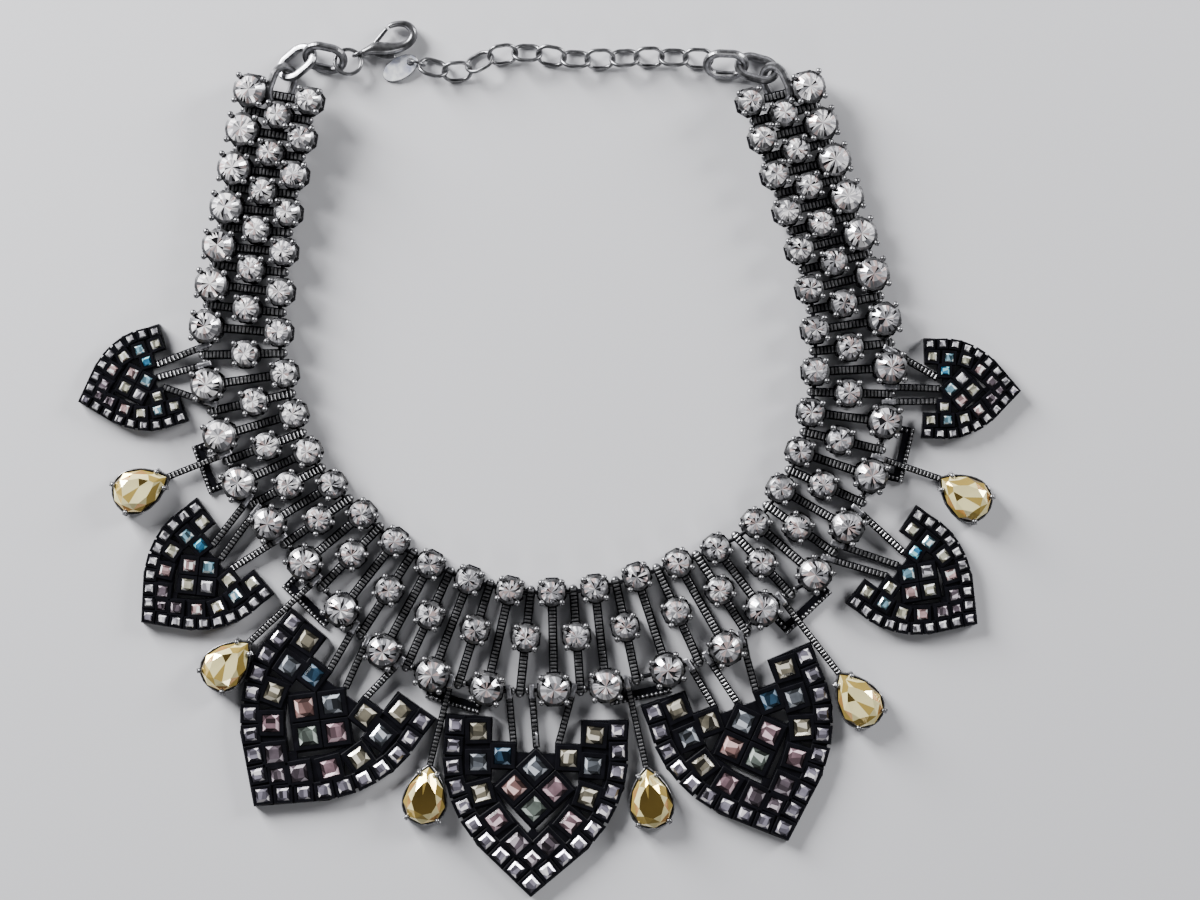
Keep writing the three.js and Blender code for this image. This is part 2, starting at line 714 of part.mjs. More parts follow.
// Chains and rings

// An oval ring in the XY plane, its long axis along X
function ring({ length, width, wire, sides, segments }) {
  const torus = new THREE.TorusGeometry((width - wire) / 2, wire / 2, sides, segments);
  torus.rotateZ(Math.PI / segments);
  const corners = torus.getAttribute('position');
  const stretch = (length - width) / 2;
  for (let i = 0; i < corners.count; i += 1) {
    corners.setX(i, corners.getX(i) + Math.sign(corners.getX(i)) * stretch);
  }
  return closedSolid(torus);
}

function linkFrame({ x, y, z, heading, roll = 0, pitch = 0 }) {
  const rad = THREE.MathUtils.degToRad;
  const frame = new THREE.Matrix4().makeTranslation(x, y, z);
  frame.multiply(new THREE.Matrix4().makeRotationZ(rad(heading)));
  frame.multiply(new THREE.Matrix4().makeRotationY(rad(pitch)));
  return frame.multiply(new THREE.Matrix4().makeRotationX(rad(roll)));
}

// How high a rolled link's middle lies when its low side rests on the surface
function restHeight({ width, wire }, roll) {
  return ((width - wire) / 2) * Math.sin(THREE.MathUtils.degToRad(Math.abs(roll))) + wire / 2;
}

function curbLink(link) {
  const z = restHeight(CURB_LINK, link.roll);
  return ring(CURB_LINK).transform(linkFrame({ ...link, z }).elements);
}

// The links that follow a first one, each reached from the one before
function followingLinks(first, rows) {
  let from = first;
  return rows.map(({ bearing, reach, heading, roll }) => {
    const angle = THREE.MathUtils.degToRad(bearing);
    const distance = reach * CURB_LINK.length;
    from = { x: from.x + distance * Math.cos(angle), y: from.y + distance * Math.sin(angle), heading, roll };
    return curbLink(from);
  });
}

// The links' middles, a pitch apart along the route
function chainPlaces() {
  const curve = new THREE.SplineCurve(CHAIN_ROUTE.map(([x, y]) => new THREE.Vector2(x, y)));
  const length = curve.getLength();
  return Array.from({ length: CHAIN_LINKS }, (_, i) => {
    const share = (i * CHAIN_PITCH) / length;
    const point = curve.getPointAt(share);
    const tangent = curve.getTangentAt(share);
    const heading = THREE.MathUtils.radToDeg(Math.atan2(tangent.y, tangent.x));
    return { x: point.x, y: point.y, heading };
  });
}

function extensionChain() {
  const z = restHeight(CHAIN_LINK, CHAIN_ROLL_DEG);
  return fuse(
    chainPlaces().map((place, i) => {
      const roll = i % 2 === 0 ? -CHAIN_ROLL_DEG : CHAIN_ROLL_DEG;
      return ring(CHAIN_LINK).transform(linkFrame({ ...place, z, roll }).elements);
    }),
  );
}

// Clasp, in its own frame: the base at the origin, X towards the hook

function claspFrame() {
  return linkFrame({ ...CLASP_PLACE, z: 0 });
}

function pinSolid(diameter, bottom, top) {
  return closedSolid(raised(circle(PIVOT_X, PIVOT_Y, diameter, PIN_SIDES), bottom, top));
}

function claspBody() {
  const middle = CLASP_THICKNESS / 2;
  const slotHalf = LEVER_THICKNESS / 2 + CLEARANCE;
  const slot = closedSolid(boxBetween([SLOT_START, -9, middle - slotHalf], [SLOT_END, 9, middle + slotHalf]));
  const body = closedSolid(raised(CLASP_OUTLINE, 0, CLASP_THICKNESS)).subtract(slot);
  const pin = pinSolid(PIN_DIAMETER, CLEARANCE, CLASP_THICKNESS - CLEARANCE);
  const eye = ring(SWIVEL_EYE)
    .rotate([90, 0, 0])
    .translate([-SWIVEL_REACH, 0, SWIVEL_EYE.width / 2]);
  return fuse([body, pin, eye]).transform(claspFrame().elements);
}

function claspLever() {
  const middle = CLASP_THICKNESS / 2;
  const bore = circle(PIVOT_X, PIVOT_Y, PIN_DIAMETER + 2 * CLEARANCE, PIN_SIDES);
  const lever = raised(LEVER_OUTLINE, middle - LEVER_THICKNESS / 2, middle + LEVER_THICKNESS / 2, [bore]);
  return closedSolid(lever).transform(claspFrame().elements);
}

// Tag

// A point past the end of the last link, the given reach from its end wire
function pastChain(reach) {
  const last = chainPlaces()[CHAIN_LINKS - 1];
  const distance = (CHAIN_LINK.length - CHAIN_LINK.wire) / 2 + reach;
  const angle = THREE.MathUtils.degToRad(last.heading);
  return { x: last.x + distance * Math.cos(angle), y: last.y + distance * Math.sin(angle), heading: last.heading };
}

// The ring stands on its edge round the end wire and through the tag's hole
function tagRing() {
  const z = TAG_RING.width / 2;
  return ring(TAG_RING).transform(linkFrame({ ...pastChain(TAG_RING_REACH), z, roll: 90 }).elements);
}

// An oval disc whose hole is at its own origin, lifted at the hole by the ring's wire
function tag() {
  const outline = circle(0, 0, 1, TAG_SIDES).map(([x, y]) => [TAG_LENGTH * (x + 0.5), TAG_WIDTH * y]);
  const toHole = TAG_HOLE / 2 + TAG_RIM;
  const disc = raised(outline, 0, TAG_THICKNESS, [circle(toHole, 0, TAG_HOLE, 8)]).translate(-toHole, 0, 0);
  const radius = (TAG_RING.width - TAG_RING.wire) / 2;
  const below = TAG_RING.width / 2 - TAG_RISE - TAG_THICKNESS / 2;
  const place = pastChain(TAG_RING_REACH + Math.sqrt(radius ** 2 - below ** 2));
  const pitch = THREE.MathUtils.radToDeg(Math.asin(TAG_RISE / (TAG_LENGTH - toHole)));
  return closedSolid(disc).transform(linkFrame({ ...place, z: TAG_RISE, heading: TAG_HEADING_DEG, pitch }).elements);
}

// Finishes

const GUNMETAL = { color: 0x24262b, roughness: 0.35, metalness: 0.9 };
const BLACK_ENAMEL = { color: 0x0c0d12, roughness: 0.4, metalness: 0.4 };
const ANTIQUE_METAL = { color: 0x5c5d62, roughness: 0.35, metalness: 1 };
const SILVER = { color: 0xb9bcc6, roughness: 0.3, metalness: 1 };
const CHAMPAGNE = { color: 0xd8b873, roughness: 0.12, metalness: 0.1 };

const necklace = new THREE.Group();

function addPiece(name, solid, finish) {
  const mesh = new THREE.Mesh(toGeometry(solid.simplify(FLATNESS)), new THREE.MeshStandardMaterial(finish));
  mesh.name = name;
  necklace.add(mesh);
}

// The two halves of the collar meet on the cord between the short bar 17 and the long bar 18
const MEETING_BAR = 17.66;
const MIDDLE_BAR = 17;
const halfGap = CLEARANCE / 2 / routeAt(MIDDLE_BAR).outer.distanceTo(routeAt(MIDDLE_BAR + 1).outer);
const leftEnd = MEETING_BAR - halfGap;
const rightStart = MEETING_BAR + halfGap;
const leftHalf = collarHalf(1, MIDDLE_BAR, 1, leftEnd);
const rightHalf = collarHalf(MIDDLE_BAR + 1, LONG_BAR_COUNT, rightStart, LONG_BAR_COUNT);
addPiece('collar_left', leftHalf.add(curbLink(LEFT_END_LINK)), GUNMETAL);
addPiece('collar_right', rightHalf.add(curbLink(RIGHT_END_LINK)), GUNMETAL);

for (const panel of PANELS) {
  const plate = mosaicPanel(panel.scale).transform(panelFrame(panel).elements);
  addPiece(panel.name, plate, BLACK_ENAMEL);
  HANGER_NAMES.forEach((name, index) => {
    addPiece(panel.name.replace('panel', 'hanger') + '_' + name, panelHanger(panel, index), GUNMETAL);
  });
}

for (const drop of DROPS) {
  addPiece(drop.name, dropSetting(drop), GUNMETAL);
  addPiece(drop.name.replace('drop', 'pear'), pearStone(drop), CHAMPAGNE);
  addPiece(drop.name.replace('drop', 'bracket'), bracket(drop), BLACK_ENAMEL);
}

addPiece('curb_chain_left', fuse(followingLinks(LEFT_END_LINK, CURB_LEFT)), ANTIQUE_METAL);
addPiece('curb_chain_right', fuse(followingLinks(RIGHT_END_LINK, CURB_RIGHT)), ANTIQUE_METAL);
addPiece('extension_chain', extensionChain(), ANTIQUE_METAL);
addPiece('jump_ring', ring(JUMP_RING).transform(linkFrame(JUMP_RING_PLACE).elements), ANTIQUE_METAL);
addPiece('clasp_body', claspBody(), ANTIQUE_METAL);
addPiece('clasp_lever', claspLever(), ANTIQUE_METAL);
addPiece('tag_ring', tagRing(), ANTIQUE_METAL);
addPiece('tag', tag(), SILVER);

// The origin is the middle of the necklace's footprint, on the surface
const bounds = new THREE.Box3().setFromObject(necklace);
const middle = bounds.getCenter(new THREE.Vector3());
necklace.position.set(-middle.x, -middle.y, -bounds.min.z);

export default necklace;
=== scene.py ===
# Looks of a bib necklace lying on a surface: ridged bars, set stones, mosaic panels, pear drops and chains.
# Lengths are millimetres in the necklace's own plan, and become metres when a piece is made.

import math
import random

import bmesh
import bpy
from mathutils import Matrix, Vector


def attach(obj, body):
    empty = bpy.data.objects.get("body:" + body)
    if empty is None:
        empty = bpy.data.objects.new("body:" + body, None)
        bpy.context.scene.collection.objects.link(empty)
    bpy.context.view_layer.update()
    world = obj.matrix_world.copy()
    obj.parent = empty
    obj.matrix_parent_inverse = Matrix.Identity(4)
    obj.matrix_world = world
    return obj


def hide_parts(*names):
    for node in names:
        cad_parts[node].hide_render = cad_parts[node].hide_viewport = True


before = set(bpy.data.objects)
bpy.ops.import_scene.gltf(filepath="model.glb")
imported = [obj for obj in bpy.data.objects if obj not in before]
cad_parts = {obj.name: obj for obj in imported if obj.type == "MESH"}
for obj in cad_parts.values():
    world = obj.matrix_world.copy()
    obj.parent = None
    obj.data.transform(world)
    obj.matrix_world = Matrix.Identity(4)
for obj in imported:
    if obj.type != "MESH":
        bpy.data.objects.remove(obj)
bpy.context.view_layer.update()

# Where the plan's origin lies in the row frame
SHIFT_X = -0.1868
SHIFT_Y = 0.07725
MM = 0.001
COLLAR_SEED, PANEL_SEED = 3, 8

# Collar bars
BAR_WIDTH = 1.9
BAR_HEIGHT = 2.8
LONG_BARS = 33
SHORT_OUTER_REACH = 2.0
SHORT_INNER_REACH = 1.9
SHORT_STONE_SHARE = 0.46
RIDGE_PITCH = 0.98
RIDGE_WIDTH = 2.4
# A ridge's half width as a share of its strip, its half thickness as a share of the pitch, its chamfer
RIDGE_SHARE = 0.34
RIDGE_REACH = 0.31
RIDGE_EDGE = 0.22
# The black strip's base, and its height as a share of the ridges'
CORE_BASE = 0.1
CORE_SHARE = 0.72
# How far a bar's ridges start from its small stone, its large stone and a short bar's end
FROM_SMALL = 3
FROM_LARGE = 3.6
FROM_END = 1

# Cups and round stones
SMALL_CUP = 6.5
LARGE_CUP = 8.1
SMALL_PRONG_REACH = 4.7
LARGE_PRONG_REACH = 5.65
CUP_HEIGHT = 5.0
CUP_FOOT_SHARE = 0.71
CUP_WALL = 0.35
CUP_SIDES = 20
# Radii as shares of the cup's, with their heights
CUP_PROFILE = [(CUP_FOOT_SHARE, 0), (CUP_FOOT_SHARE * 1.02, 0.7), (0.93, 2.6), (1, 3.2), (1, 4.8)]
RIBS = 12
RIB_WIDTH = 0.56
RIB_TOP = 4.3
PRONGS = 4
PRONG_BALL = 0.82
PRONG_POST = 0.42
PRONG_FOOT, PRONG_BEND = 0.4, 2.8
# The black foot's reach beyond the stone, and its profile from that reach: partly the cups' dark foot,
# partly a dark sheet in place of shade on the floor round them
FLANGE = 1.0
FLANGE_SIDES = 8
FLANGE_PROFILE = [(-0.3, 0.3), (0, 0.7), (0, 1.5), (-1.05, 2.3)]
RAYS = 24
RAY_SPREAD = 0.35
TABLE_SHARE = 0.56
STONE_INSET = 0.38
STONE_BASE, STONE_GIRDLE, STONE_TABLE, STONE_MIDDLE = 4.35, 4.85, 6.15, 6.03
# Between these bars the stones are darker than on the arms: painted shade over the lower collar
LOWER_BARS = (10, 29)

# The solids' cup radius and foot share, which place the bars' lean and the hangers' eyes
SOLID_CUP_RADIUS = 4.5
SOLID_FOOT_SHARE = 0.7
EYE_RISE = 1.7

# Cords, end balls and spacer beads
CORD_HEIGHT = 1.9
CORD_DIAMETER = 1.2
CORD_STEPS = 4
END_BALL = 1.15
SPACER_OFFSET = 0.1
SPACER_PROFILE = [(0.7, -0.45), (1.05, -0.2), (1.05, 0.2), (0.7, 0.45)]

# The bars' route: bar, small stone's x and y, large stone's x and y
BAR_STATIONS = [
    [1, -63.7, 95.7, -79.7, 98.7],
    [4, -69.7, 66.0, -86.4, 67.6],
    [7, -72.4, 33.9, -92.1, 35.5],
    [8, -71.0, 22.8, -91.8, 19.8],
    [10, -64.8, 1.8, -83.4, -6.6],
    [12, -50.2, -15.0, -65.9, -28.2],
    [14, -31.9, -28.5, -44.6, -52.0],
    [16, -10.5, -35.5, -16.7, -62.0],
    [17, 0.8, -36.0, 1.4, -62.2],
    [18, 12.4, -35.0, 15.4, -61.2],
    [20, 34.8, -28.2, 47.8, -51.2],
    [21, 45.1, -24.2, 57.5, -40.6],
    [22, 55.6, -17.4, 71.6, -31.2],
    [24, 67.5, 1.8, 86.7, -4.7],
    [26, 71.6, 23.4, 91.8, 24.4],
    [28, 69.9, 45.5, 86.9, 49.5],
    [30, 63.7, 66.3, 79.9, 70.3],
    [33, 53.7, 95.4, 69.4, 99.5],
]
LEAN_DEG = 6
LEAN_BARS = 12
END_LIFT = 2.4
END_LIFT_BARS = 3.5

# Panels: name, the shoulders' middle, scale, heading, border stones a side, bar
PANELS = [
    ["left_small", -102.6, 22.7, 0.554, 73.1, 8, 7],
    ["left_medium", -85.9, -24.7, 0.675, 50.9, 9, 10],
    ["left_large", -51.7, -57.4, 1, 37.4, 9, 13],
    ["center", -3.3, -72.5, 1, 2, 9, 16],
    ["right_large", 48.6, -60.7, 0.99, -20.5, 9, 19],
    ["right_medium", 91.0, -26.9, 0.66, -54.2, 9, 22],
    ["right_small", 102.3, 18.9, 0.545, -88.5, 8, 25],
]
HALF_WIDTH = 26
PANEL_LENGTH = 50
PLATE = 2.4
BORDER_TILE = 3.9
ROW_TILE = 5.1
DIAMOND_TILE = 5.6
DIAMOND_GAP = 2.1
PLATE_MARGIN = 1.25
# A stone's side as a share of its tile's, on the large panels and on the others
STONE_SHARE = 0.9
SMALL_STONE_SHARE = 0.86
# A square stone's height, its table's half side as a share of its side, and the slant of its table's split
TILE_HEIGHT = 0.8
TILE_TABLE_SHARE = 0.29
TILE_SPLIT = 0.45
# The rims round the stones: their widths at small and at large stones, height and depth
SMALL_RIM, LARGE_RIM = 0.62, 0.95
RIM_HEIGHT, RIM_DEPTH = 0.5, 0.6
# Places of the stones on a panel, from the middle of its diamond
DIAMOND_OFFSET = (DIAMOND_TILE + DIAMOND_GAP) / math.sqrt(2)
INNER_X = 0.342 * HALF_WIDTH
INNER_Y = 0.169 * PANEL_LENGTH
ROW_TIP_Y = -0.376 * PANEL_LENGTH
BORDER_ROUTE = [(0.842, 0.326), (0.85, 0.096), (0.715, -0.122), (0.458, -0.3), (0, -0.512)]
ROW_ROUTE = [(0.604, 0.298), (0.562, -0.018), (0.388, -0.172), (0.162, -0.296)]
ROW_STEPS = 400

# Strips of the hangers and drops: width and pitch of the ridges
HANGER_STRIP = (1.9, 1.05)
DROP_STRIP = (1.75, 1.0)
# How far they start from the cord, and how far the drops' strips end before their feet
STRIP_START = 1.9
DROP_STRIP_GAP = 0.4
# The outer feet as a share of the inner stones' places, and all feet's distance from the plate
HANGER_FOOT_SHARE = 0.7
HANGER_FOOT_RISE = 0.7
# The hangers' folded loops: the strip over the cord, its turned end and their chamfer
HOOK_TOP = ((-1.7, -0.62, 1.2), (2.0, 0.62, 2.0))
HOOK_END = ((1.2, -0.75, -0.9), (2.1, 0.75, 1.6))
HOOK_EDGE = 0.3
STANDING_LINK = (4.2, 2.0, 0.6)
STANDING_PLACE = (0.2, 1.4, 1.1)

# Drops: name, pointed end, round end, bracket's reach, bar
DROPS = [
    ["left_outer", -102.1, -4.7, -117.2, -11.5, 8.3, 9],
    ["left_middle", -80.4, -49.1, -92.1, -61.2, 8, 12],
    ["left_inner", -32.1, -82.2, -34.3, -98.7, 6.8, 15],
    ["right_inner", 26.2, -82.8, 28.5, -99.8, 5.9, 18],
    ["right_middle", 77.9, -57.5, 87.8, -71.7, 8, 21],
    ["right_outer", 105, -5, 118.3, -14.7, 8.3, 24],
]
PEAR_WIDTH = 12.2
PEAR_INSET = 0.5
PEAR_MIDDLE = 0.58
PEAR_BACK = 2.2
PEAR_FACETS = 10
# A pear's rings of points: scale of its outline, rise and turn in facets, then its table's middle
PEAR_RINGS = [(0.86, 0, 0), (1, 1, 0), (1, 1.3, 0), (0.84, 2.3, 0.5), (0.6, 3.4, 0)]
PEAR_TABLE = (0.5, -0.6, 3.25)
# Its prongs, as shares of the way round it, and its rim
PEAR_PRONGS = (0.12, 0.88, 0.4, 0.6)
PEAR_PRONG_LOW, PEAR_PRONG_HIGH, PEAR_PRONG_EDGE = (-0.5, -0.6, 0.6), (0.55, 0.6, 4.2), 0.3
PEAR_BALL, PEAR_BALL_PLACE = 0.75, (-0.35, 0, 4.2)
PEAR_RIM_WIRE = 0.6
PEAR_RIM_STEPS = 28
DROP_EYE = (1, 0, 1.95)

# Beads of the brackets
BEAD_PITCH = 1.15
EDGE_BEAD = 0.62
ARM_BEAD = 0.52
BEAD_HEIGHT = 0.95
EDGE_INSET = 0.6
EDGE_MARGIN = 0.5
ARM_START = 4.2
ARM_OFFSET = 1.0

# Curb links, extension chain and rings
CURB_LENGTH, CURB_WIDTH, CURB_WIRE, CURB_FLAT = 12.5, 9.6, 2.3, 0.8
LEFT_END_LINK = (-71.9, 100.3, 70, 45)
RIGHT_END_LINK = (61.2, 100.6, 115, -45)
# The next links: bearing and share of a link's length from the one before, heading, roll
LEFT_LINKS = [(56.9, 0.601, 40, -35), (9.0, 0.616, -12, 45)]
RIGHT_LINKS = [(139.8, 0.545, 165, 35), (173.2, 0.677, 178, -45)]
CHAIN_LENGTH, CHAIN_WIDTH, CHAIN_WIRE = 8.6, 6.8, 1.1
CHAIN_ROLL = 40
CHAIN_PITCH = 6.6
CHAIN_LINKS = 12
CHAIN_ROUTE = [
    (40.2, 107.7), (27.5, 108.1), (8.1, 107.5), (-5, 109.2),
    (-15.4, 108.2), (-24.5, 104.2), (-34, 106),
]
CHAIN_STEPS = 1200
JUMP_RING, JUMP_WIRE = 8.2, 1.1
# The jump ring's x, y, z, heading, roll and pitch
JUMP_PLACE = (-54, 106.75, 3.1, 25, -10, 13)
TAG_RING, TAG_WIRE, TAG_RING_REACH = 5.0, 0.7, 0.75
TAG_LENGTH, TAG_WIDTH, TAG_THICKNESS, TAG_HEADING = 10.4, 6.0, 0.6, 209
TAG_TO_HOLE, TAG_HOLE, TAG_RISE = 1.9, 1.1, 0.3
TAG_SIDES = 36
# The tag's bands of faces in painted shade, counted from its hole out and back: side, chamfer and the hole's
# wall
TAG_SHADED_BANDS = (1, 2, 4)

# The clasp: place and heading, then x, y, half width and half height along its body and its lever's arms
CLASP_PLACE = (-50.2, 109.5, 0, 22.8)
CLASP_HEIGHT = 2.0
SLOT_LOW, SLOT_HIGH = (1.1, -9, 1.2), (6.6, 9, 2.8)
SWIVEL_RING, SWIVEL_WIRE, SWIVEL_PLACE = 3.7, 0.9, (-1.3, 0, 1.85)
PIN_RADIUS, PIN_LOW, PIN_HIGH, PIN_X = 0.5, 0.3, 3.7, 2.9
CLASP_BODY = [
    (-0.1, -0.2, 0.95, 1.5),
    (1.6, -0.3, 1.3, 1.85),
    (3.7, -0.5, 1.9, 1.95),
    (6.1, -1.6, 1.85, 1.9),
    (8.5, -2.4, 1.5, 1.75),
    (11.0, -2.8, 1.25, 1.6),
    (13.1, -2.3, 1.15, 1.5),
    (14.5, -0.9, 1.15, 1.45),
    (14.6, 0.8, 1.08, 1.45),
    (13.6, 2.4, 0.97, 1.4),
    (11.8, 3.3, 0.84, 1.35),
    (10.2, 3.6, 0.8, 1.25),
    (9.1, 3.5, 0.65, 1.15),
]
LEVER_ARMS = [
    [(2.6, -0.2, 0.65, 0.5), (4.4, 1.1, 0.65, 0.5), (6.4, 2.2, 0.62, 0.5), (8.5, 3.3, 0.55, 0.45)],
    [(2.8, 0.3, 0.6, 0.5), (2.9, -1.4, 0.6, 0.5), (4.6, -3.2, 0.6, 0.5), (7.6, -4.7, 0.5, 0.45)],
]

# Studio in metres: name, place, size and power of each light, and the photo's frame for the camera
LIGHTS = [
    ("key", (-0.85, 0.8, 0.45), 0.6, 66),
    ("fill", (0.95, 0.55, 0.42), 0.4, 17),
    ("front", (0.2, -1.0, 0.6), 0.35, 3),
]
WORLD_COLOR = (0.86, 0.88, 0.93, 1)
WORLD_STRENGTH = 0.08
FLOOR_COLOR = (0.56, 0.56, 0.585)
FLOOR_REACH = 3
PHOTO_WIDTH, PHOTO_HEIGHT = 1200, 900
PHOTO_ORIGIN = (549, 458.5)
PHOTO_SCALE = 0.27
CAMERA_HEIGHT = 0.9
SENSOR_WIDTH = 36


# Meshes


class Batch:
    """Vertices in millimetres and faces with a material number, gathered into one mesh."""

    def __init__(self):
        self.verts = []
        self.faces = []
        self.slots = []
        self.smooth = []

    def add(self, verts, faces, matrix=None, slot=0, smooth=False):
        base = len(self.verts)
        moved = [matrix @ Vector(v) for v in verts] if matrix else [Vector(v) for v in verts]
        self.verts += moved
        for i, face in enumerate(faces):
            self.faces.append([base + k for k in face])
            self.slots.append(slot[i] if isinstance(slot, list) else slot)
            self.smooth.append(smooth)

    def make(self, name, materials, body="necklace"):
        mesh = bpy.data.meshes.new(name)
        points = [((v.x + SHIFT_X) * MM, (v.y + SHIFT_Y) * MM, v.z * MM) for v in self.verts]
        mesh.from_pydata(points, [], self.faces)
        for material in materials:
            mesh.materials.append(material)
        for polygon, slot, smooth in zip(mesh.polygons, self.slots, self.smooth):
            polygon.material_index = slot
            polygon.use_smooth = smooth
        shells = bmesh.new()
        shells.from_mesh(mesh)
        bmesh.ops.recalc_face_normals(shells, faces=shells.faces)
        shells.to_mesh(mesh)
        shells.free()
        mesh.update()
        obj = bpy.data.objects.new(name, mesh)
        bpy.context.scene.collection.objects.link(obj)
        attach(obj, body)
        return obj


def regular(sides, radius, turn=0.5):
    angles = [2 * math.pi / sides * (i + turn) for i in range(sides)]
    return [(radius * math.cos(a), radius * math.sin(a)) for a in angles]


def lofted(rings, close_bottom=True, close_top=True):
    """A closed skin through rings of equal point counts, lowest first."""
    count = len(rings[0])
    verts = [p for ring in rings for p in ring]
    faces = []
    for level in range(len(rings) - 1):
        for i in range(count):
            a, b = level * count + i, level * count + (i + 1) % count
            faces.append([a, b, b + count, a + count])
    if close_bottom:
        faces.append(list(range(count - 1, -1, -1)))
    if close_top:
        top = (len(rings) - 1) * count
        faces.append([top + i for i in range(count)])
    return verts, faces


def at_height(outline, z):
    return [(x, y, z) for x, y in outline]


def rectangle(x0, y0, x1, y1):
    return [(x0, y0), (x1, y0), (x1, y1), (x0, y1)]


def block(low, high):
    outline = rectangle(*low[:2], *high[:2])
    return lofted([at_height(outline, low[2]), at_height(outline, high[2])])


def bevelled_block(low, high, edge):
    """A block whose top edges are chamfered."""
    outline = rectangle(*low[:2], *high[:2])
    inner = rectangle(low[0] + edge, low[1] + edge, high[0] - edge, high[1] - edge)
    bottom, top = low[2], high[2]
    return lofted([at_height(outline, bottom), at_height(outline, top - edge), at_height(inner, top)])


def lathe(profile, sides):
    """A round solid about Z from radius and height pairs, lowest first."""
    return lofted([at_height(regular(sides, max(radius, 0.01)), z) for radius, z in profile])


def ball(radius, sides=8, levels=5):
    angles = [math.pi * (k / (levels - 1) - 0.5) for k in range(levels)]
    return lathe([(radius * math.cos(a), radius * math.sin(a)) for a in angles], sides)


def place(x, y, z=0.0):
    return Matrix.Translation((x, y, z))


def turned(angle, axis="Z"):
    return Matrix.Rotation(angle, 4, axis)


def tube(points, radius, sides=6):
    """A tube through points, with flat ends."""
    rings = []
    up = Vector((0, 0, 1))
    for i, point in enumerate(points):
        ahead = points[min(i + 1, len(points) - 1)] - points[max(i - 1, 0)]
        side = ahead.normalized().cross(up)
        if side.length < 0.1:
            side = Vector((1, 0, 0))
        side.normalize()
        above = side.cross(ahead.normalized())
        rings.append([tuple(point + side * u + above * v) for u, v in regular(sides, radius)])
    verts, faces = lofted(rings)
    return verts, [face[::-1] for face in faces]


def link(length, width, wire, segments=28, sides=10, flat=1.0):
    """An oval ring in the XY plane. Flat below 1 files its upper and lower sides."""
    verts = []
    reach = (length - width) / 2
    radius = (width - wire) / 2
    for i in range(segments):
        around = 2 * math.pi * (i + 0.5) / segments
        shift = math.copysign(reach, math.cos(around))
        for k in range(sides):
            about = 2 * math.pi * (k + 0.5) / sides
            out = radius + wire / 2 * math.cos(about)
            z = wire / 2 * math.sin(about)
            z = max(-wire / 2 * flat, min(wire / 2 * flat, z))
            verts.append((out * math.cos(around) + shift, out * math.sin(around), z))
    faces = []
    for i in range(segments):
        for k in range(sides):
            a, b = i * sides + k, i * sides + (k + 1) % sides
            c, d = ((i + 1) % segments) * sides + k, ((i + 1) % segments) * sides + (k + 1) % sides
            faces.append([a, c, d, b])
    return verts, faces


def link_frame(x, y, z, heading, roll=0.0, pitch=0.0):
    rad = math.radians
    return place(x, y, z) @ turned(rad(heading)) @ turned(rad(pitch), "Y") @ turned(rad(roll), "X")


def rest_height(width, wire, roll):
    return (width - wire) / 2 * math.sin(math.radians(abs(roll))) + wire / 2


# Materials


def finish(name, color, metallic, roughness, grain=40.0, shade=0.25, bump=0.0, coat=0.0, specular=0.5):
    """A Principled surface whose colour varies a little with a noise in object space."""
    material = bpy.data.materials.new(name)
    material.use_nodes = True
    nodes, links = material.node_tree.nodes, material.node_tree.links
    shader = nodes["Principled BSDF"]
    shader.inputs["Metallic"].default_value = metallic
    shader.inputs["Roughness"].default_value = roughness
    shader.inputs["Coat Weight"].default_value = coat
    shader.inputs["Specular IOR Level"].default_value = specular
    shader.inputs["Coat Roughness"].default_value = 0.08
    where = nodes.new("ShaderNodeTexCoord")
    noise = nodes.new("ShaderNodeTexNoise")
    noise.inputs["Scale"].default_value = grain
    noise.inputs["Detail"].default_value = 3
    links.new(where.outputs["Object"], noise.inputs["Vector"])
    ramp = nodes.new("ShaderNodeValToRGB")
    ramp.color_ramp.elements[0].position = 0.3
    ramp.color_ramp.elements[1].position = 0.7
    low, high = 1 - shade, 1 + shade
    ramp.color_ramp.elements[0].color = (*[c * low for c in color], 1)
    ramp.color_ramp.elements[1].color = (*[min(c * high, 1) for c in color], 1)
    links.new(noise.outputs["Fac"], ramp.inputs["Fac"])
    links.new(ramp.outputs["Color"], shader.inputs["Base Color"])
    if bump:
        relief = nodes.new("ShaderNodeBump")
        relief.inputs["Strength"].default_value = bump
        relief.inputs["Distance"].default_value = 0.0003
        links.new(noise.outputs["Fac"], relief.inputs["Height"])
        links.new(relief.outputs["Normal"], shader.inputs["Normal"])
    return material


GUNMETAL = finish("gunmetal", (0.17, 0.17, 0.178), 0.85, 0.3, grain=900, shade=0.6)
BLACK = finish("black_enamel", (0.003, 0.003, 0.0045), 0.0, 0.38, grain=400, shade=0.4, specular=0.14)
DARK_METAL = finish("dark_metal", (0.06, 0.06, 0.065), 0.9, 0.34, grain=600, shade=0.5)
DARK_CHAIN = finish("antique_metal", (0.17, 0.17, 0.178), 0.9, 0.3, grain=500, shade=0.5)
BRIGHT_CHAIN = finish("filed_metal", (0.4, 0.4, 0.425), 0.85, 0.28, grain=900, shade=0.5)
SILVER = finish("tag_silver", (0.68, 0.71, 0.93), 0.25, 0.32, grain=420, shade=0.45, bump=0.5)
# The ridges' metal: a lighter copy of the gunmetal, a painted highlight
RIDGE_METAL = finish("ridge_metal", (0.24, 0.24, 0.248), 0.85, 0.3, grain=900, shade=0.6)

# The metals of one batch, and their numbers
METALS = [GUNMETAL, BLACK, RIDGE_METAL, DARK_CHAIN, BRIGHT_CHAIN]
PLAIN, ENAMEL, RIDGE, LINK, FILED = range(5)


def gem(name, color, metallic, shade, grain=40.0, roughness=0.05):
    """One facet shade of a stone, under a clear coat."""
    return finish(name, color, metallic, roughness, grain, shade, coat=1.0)
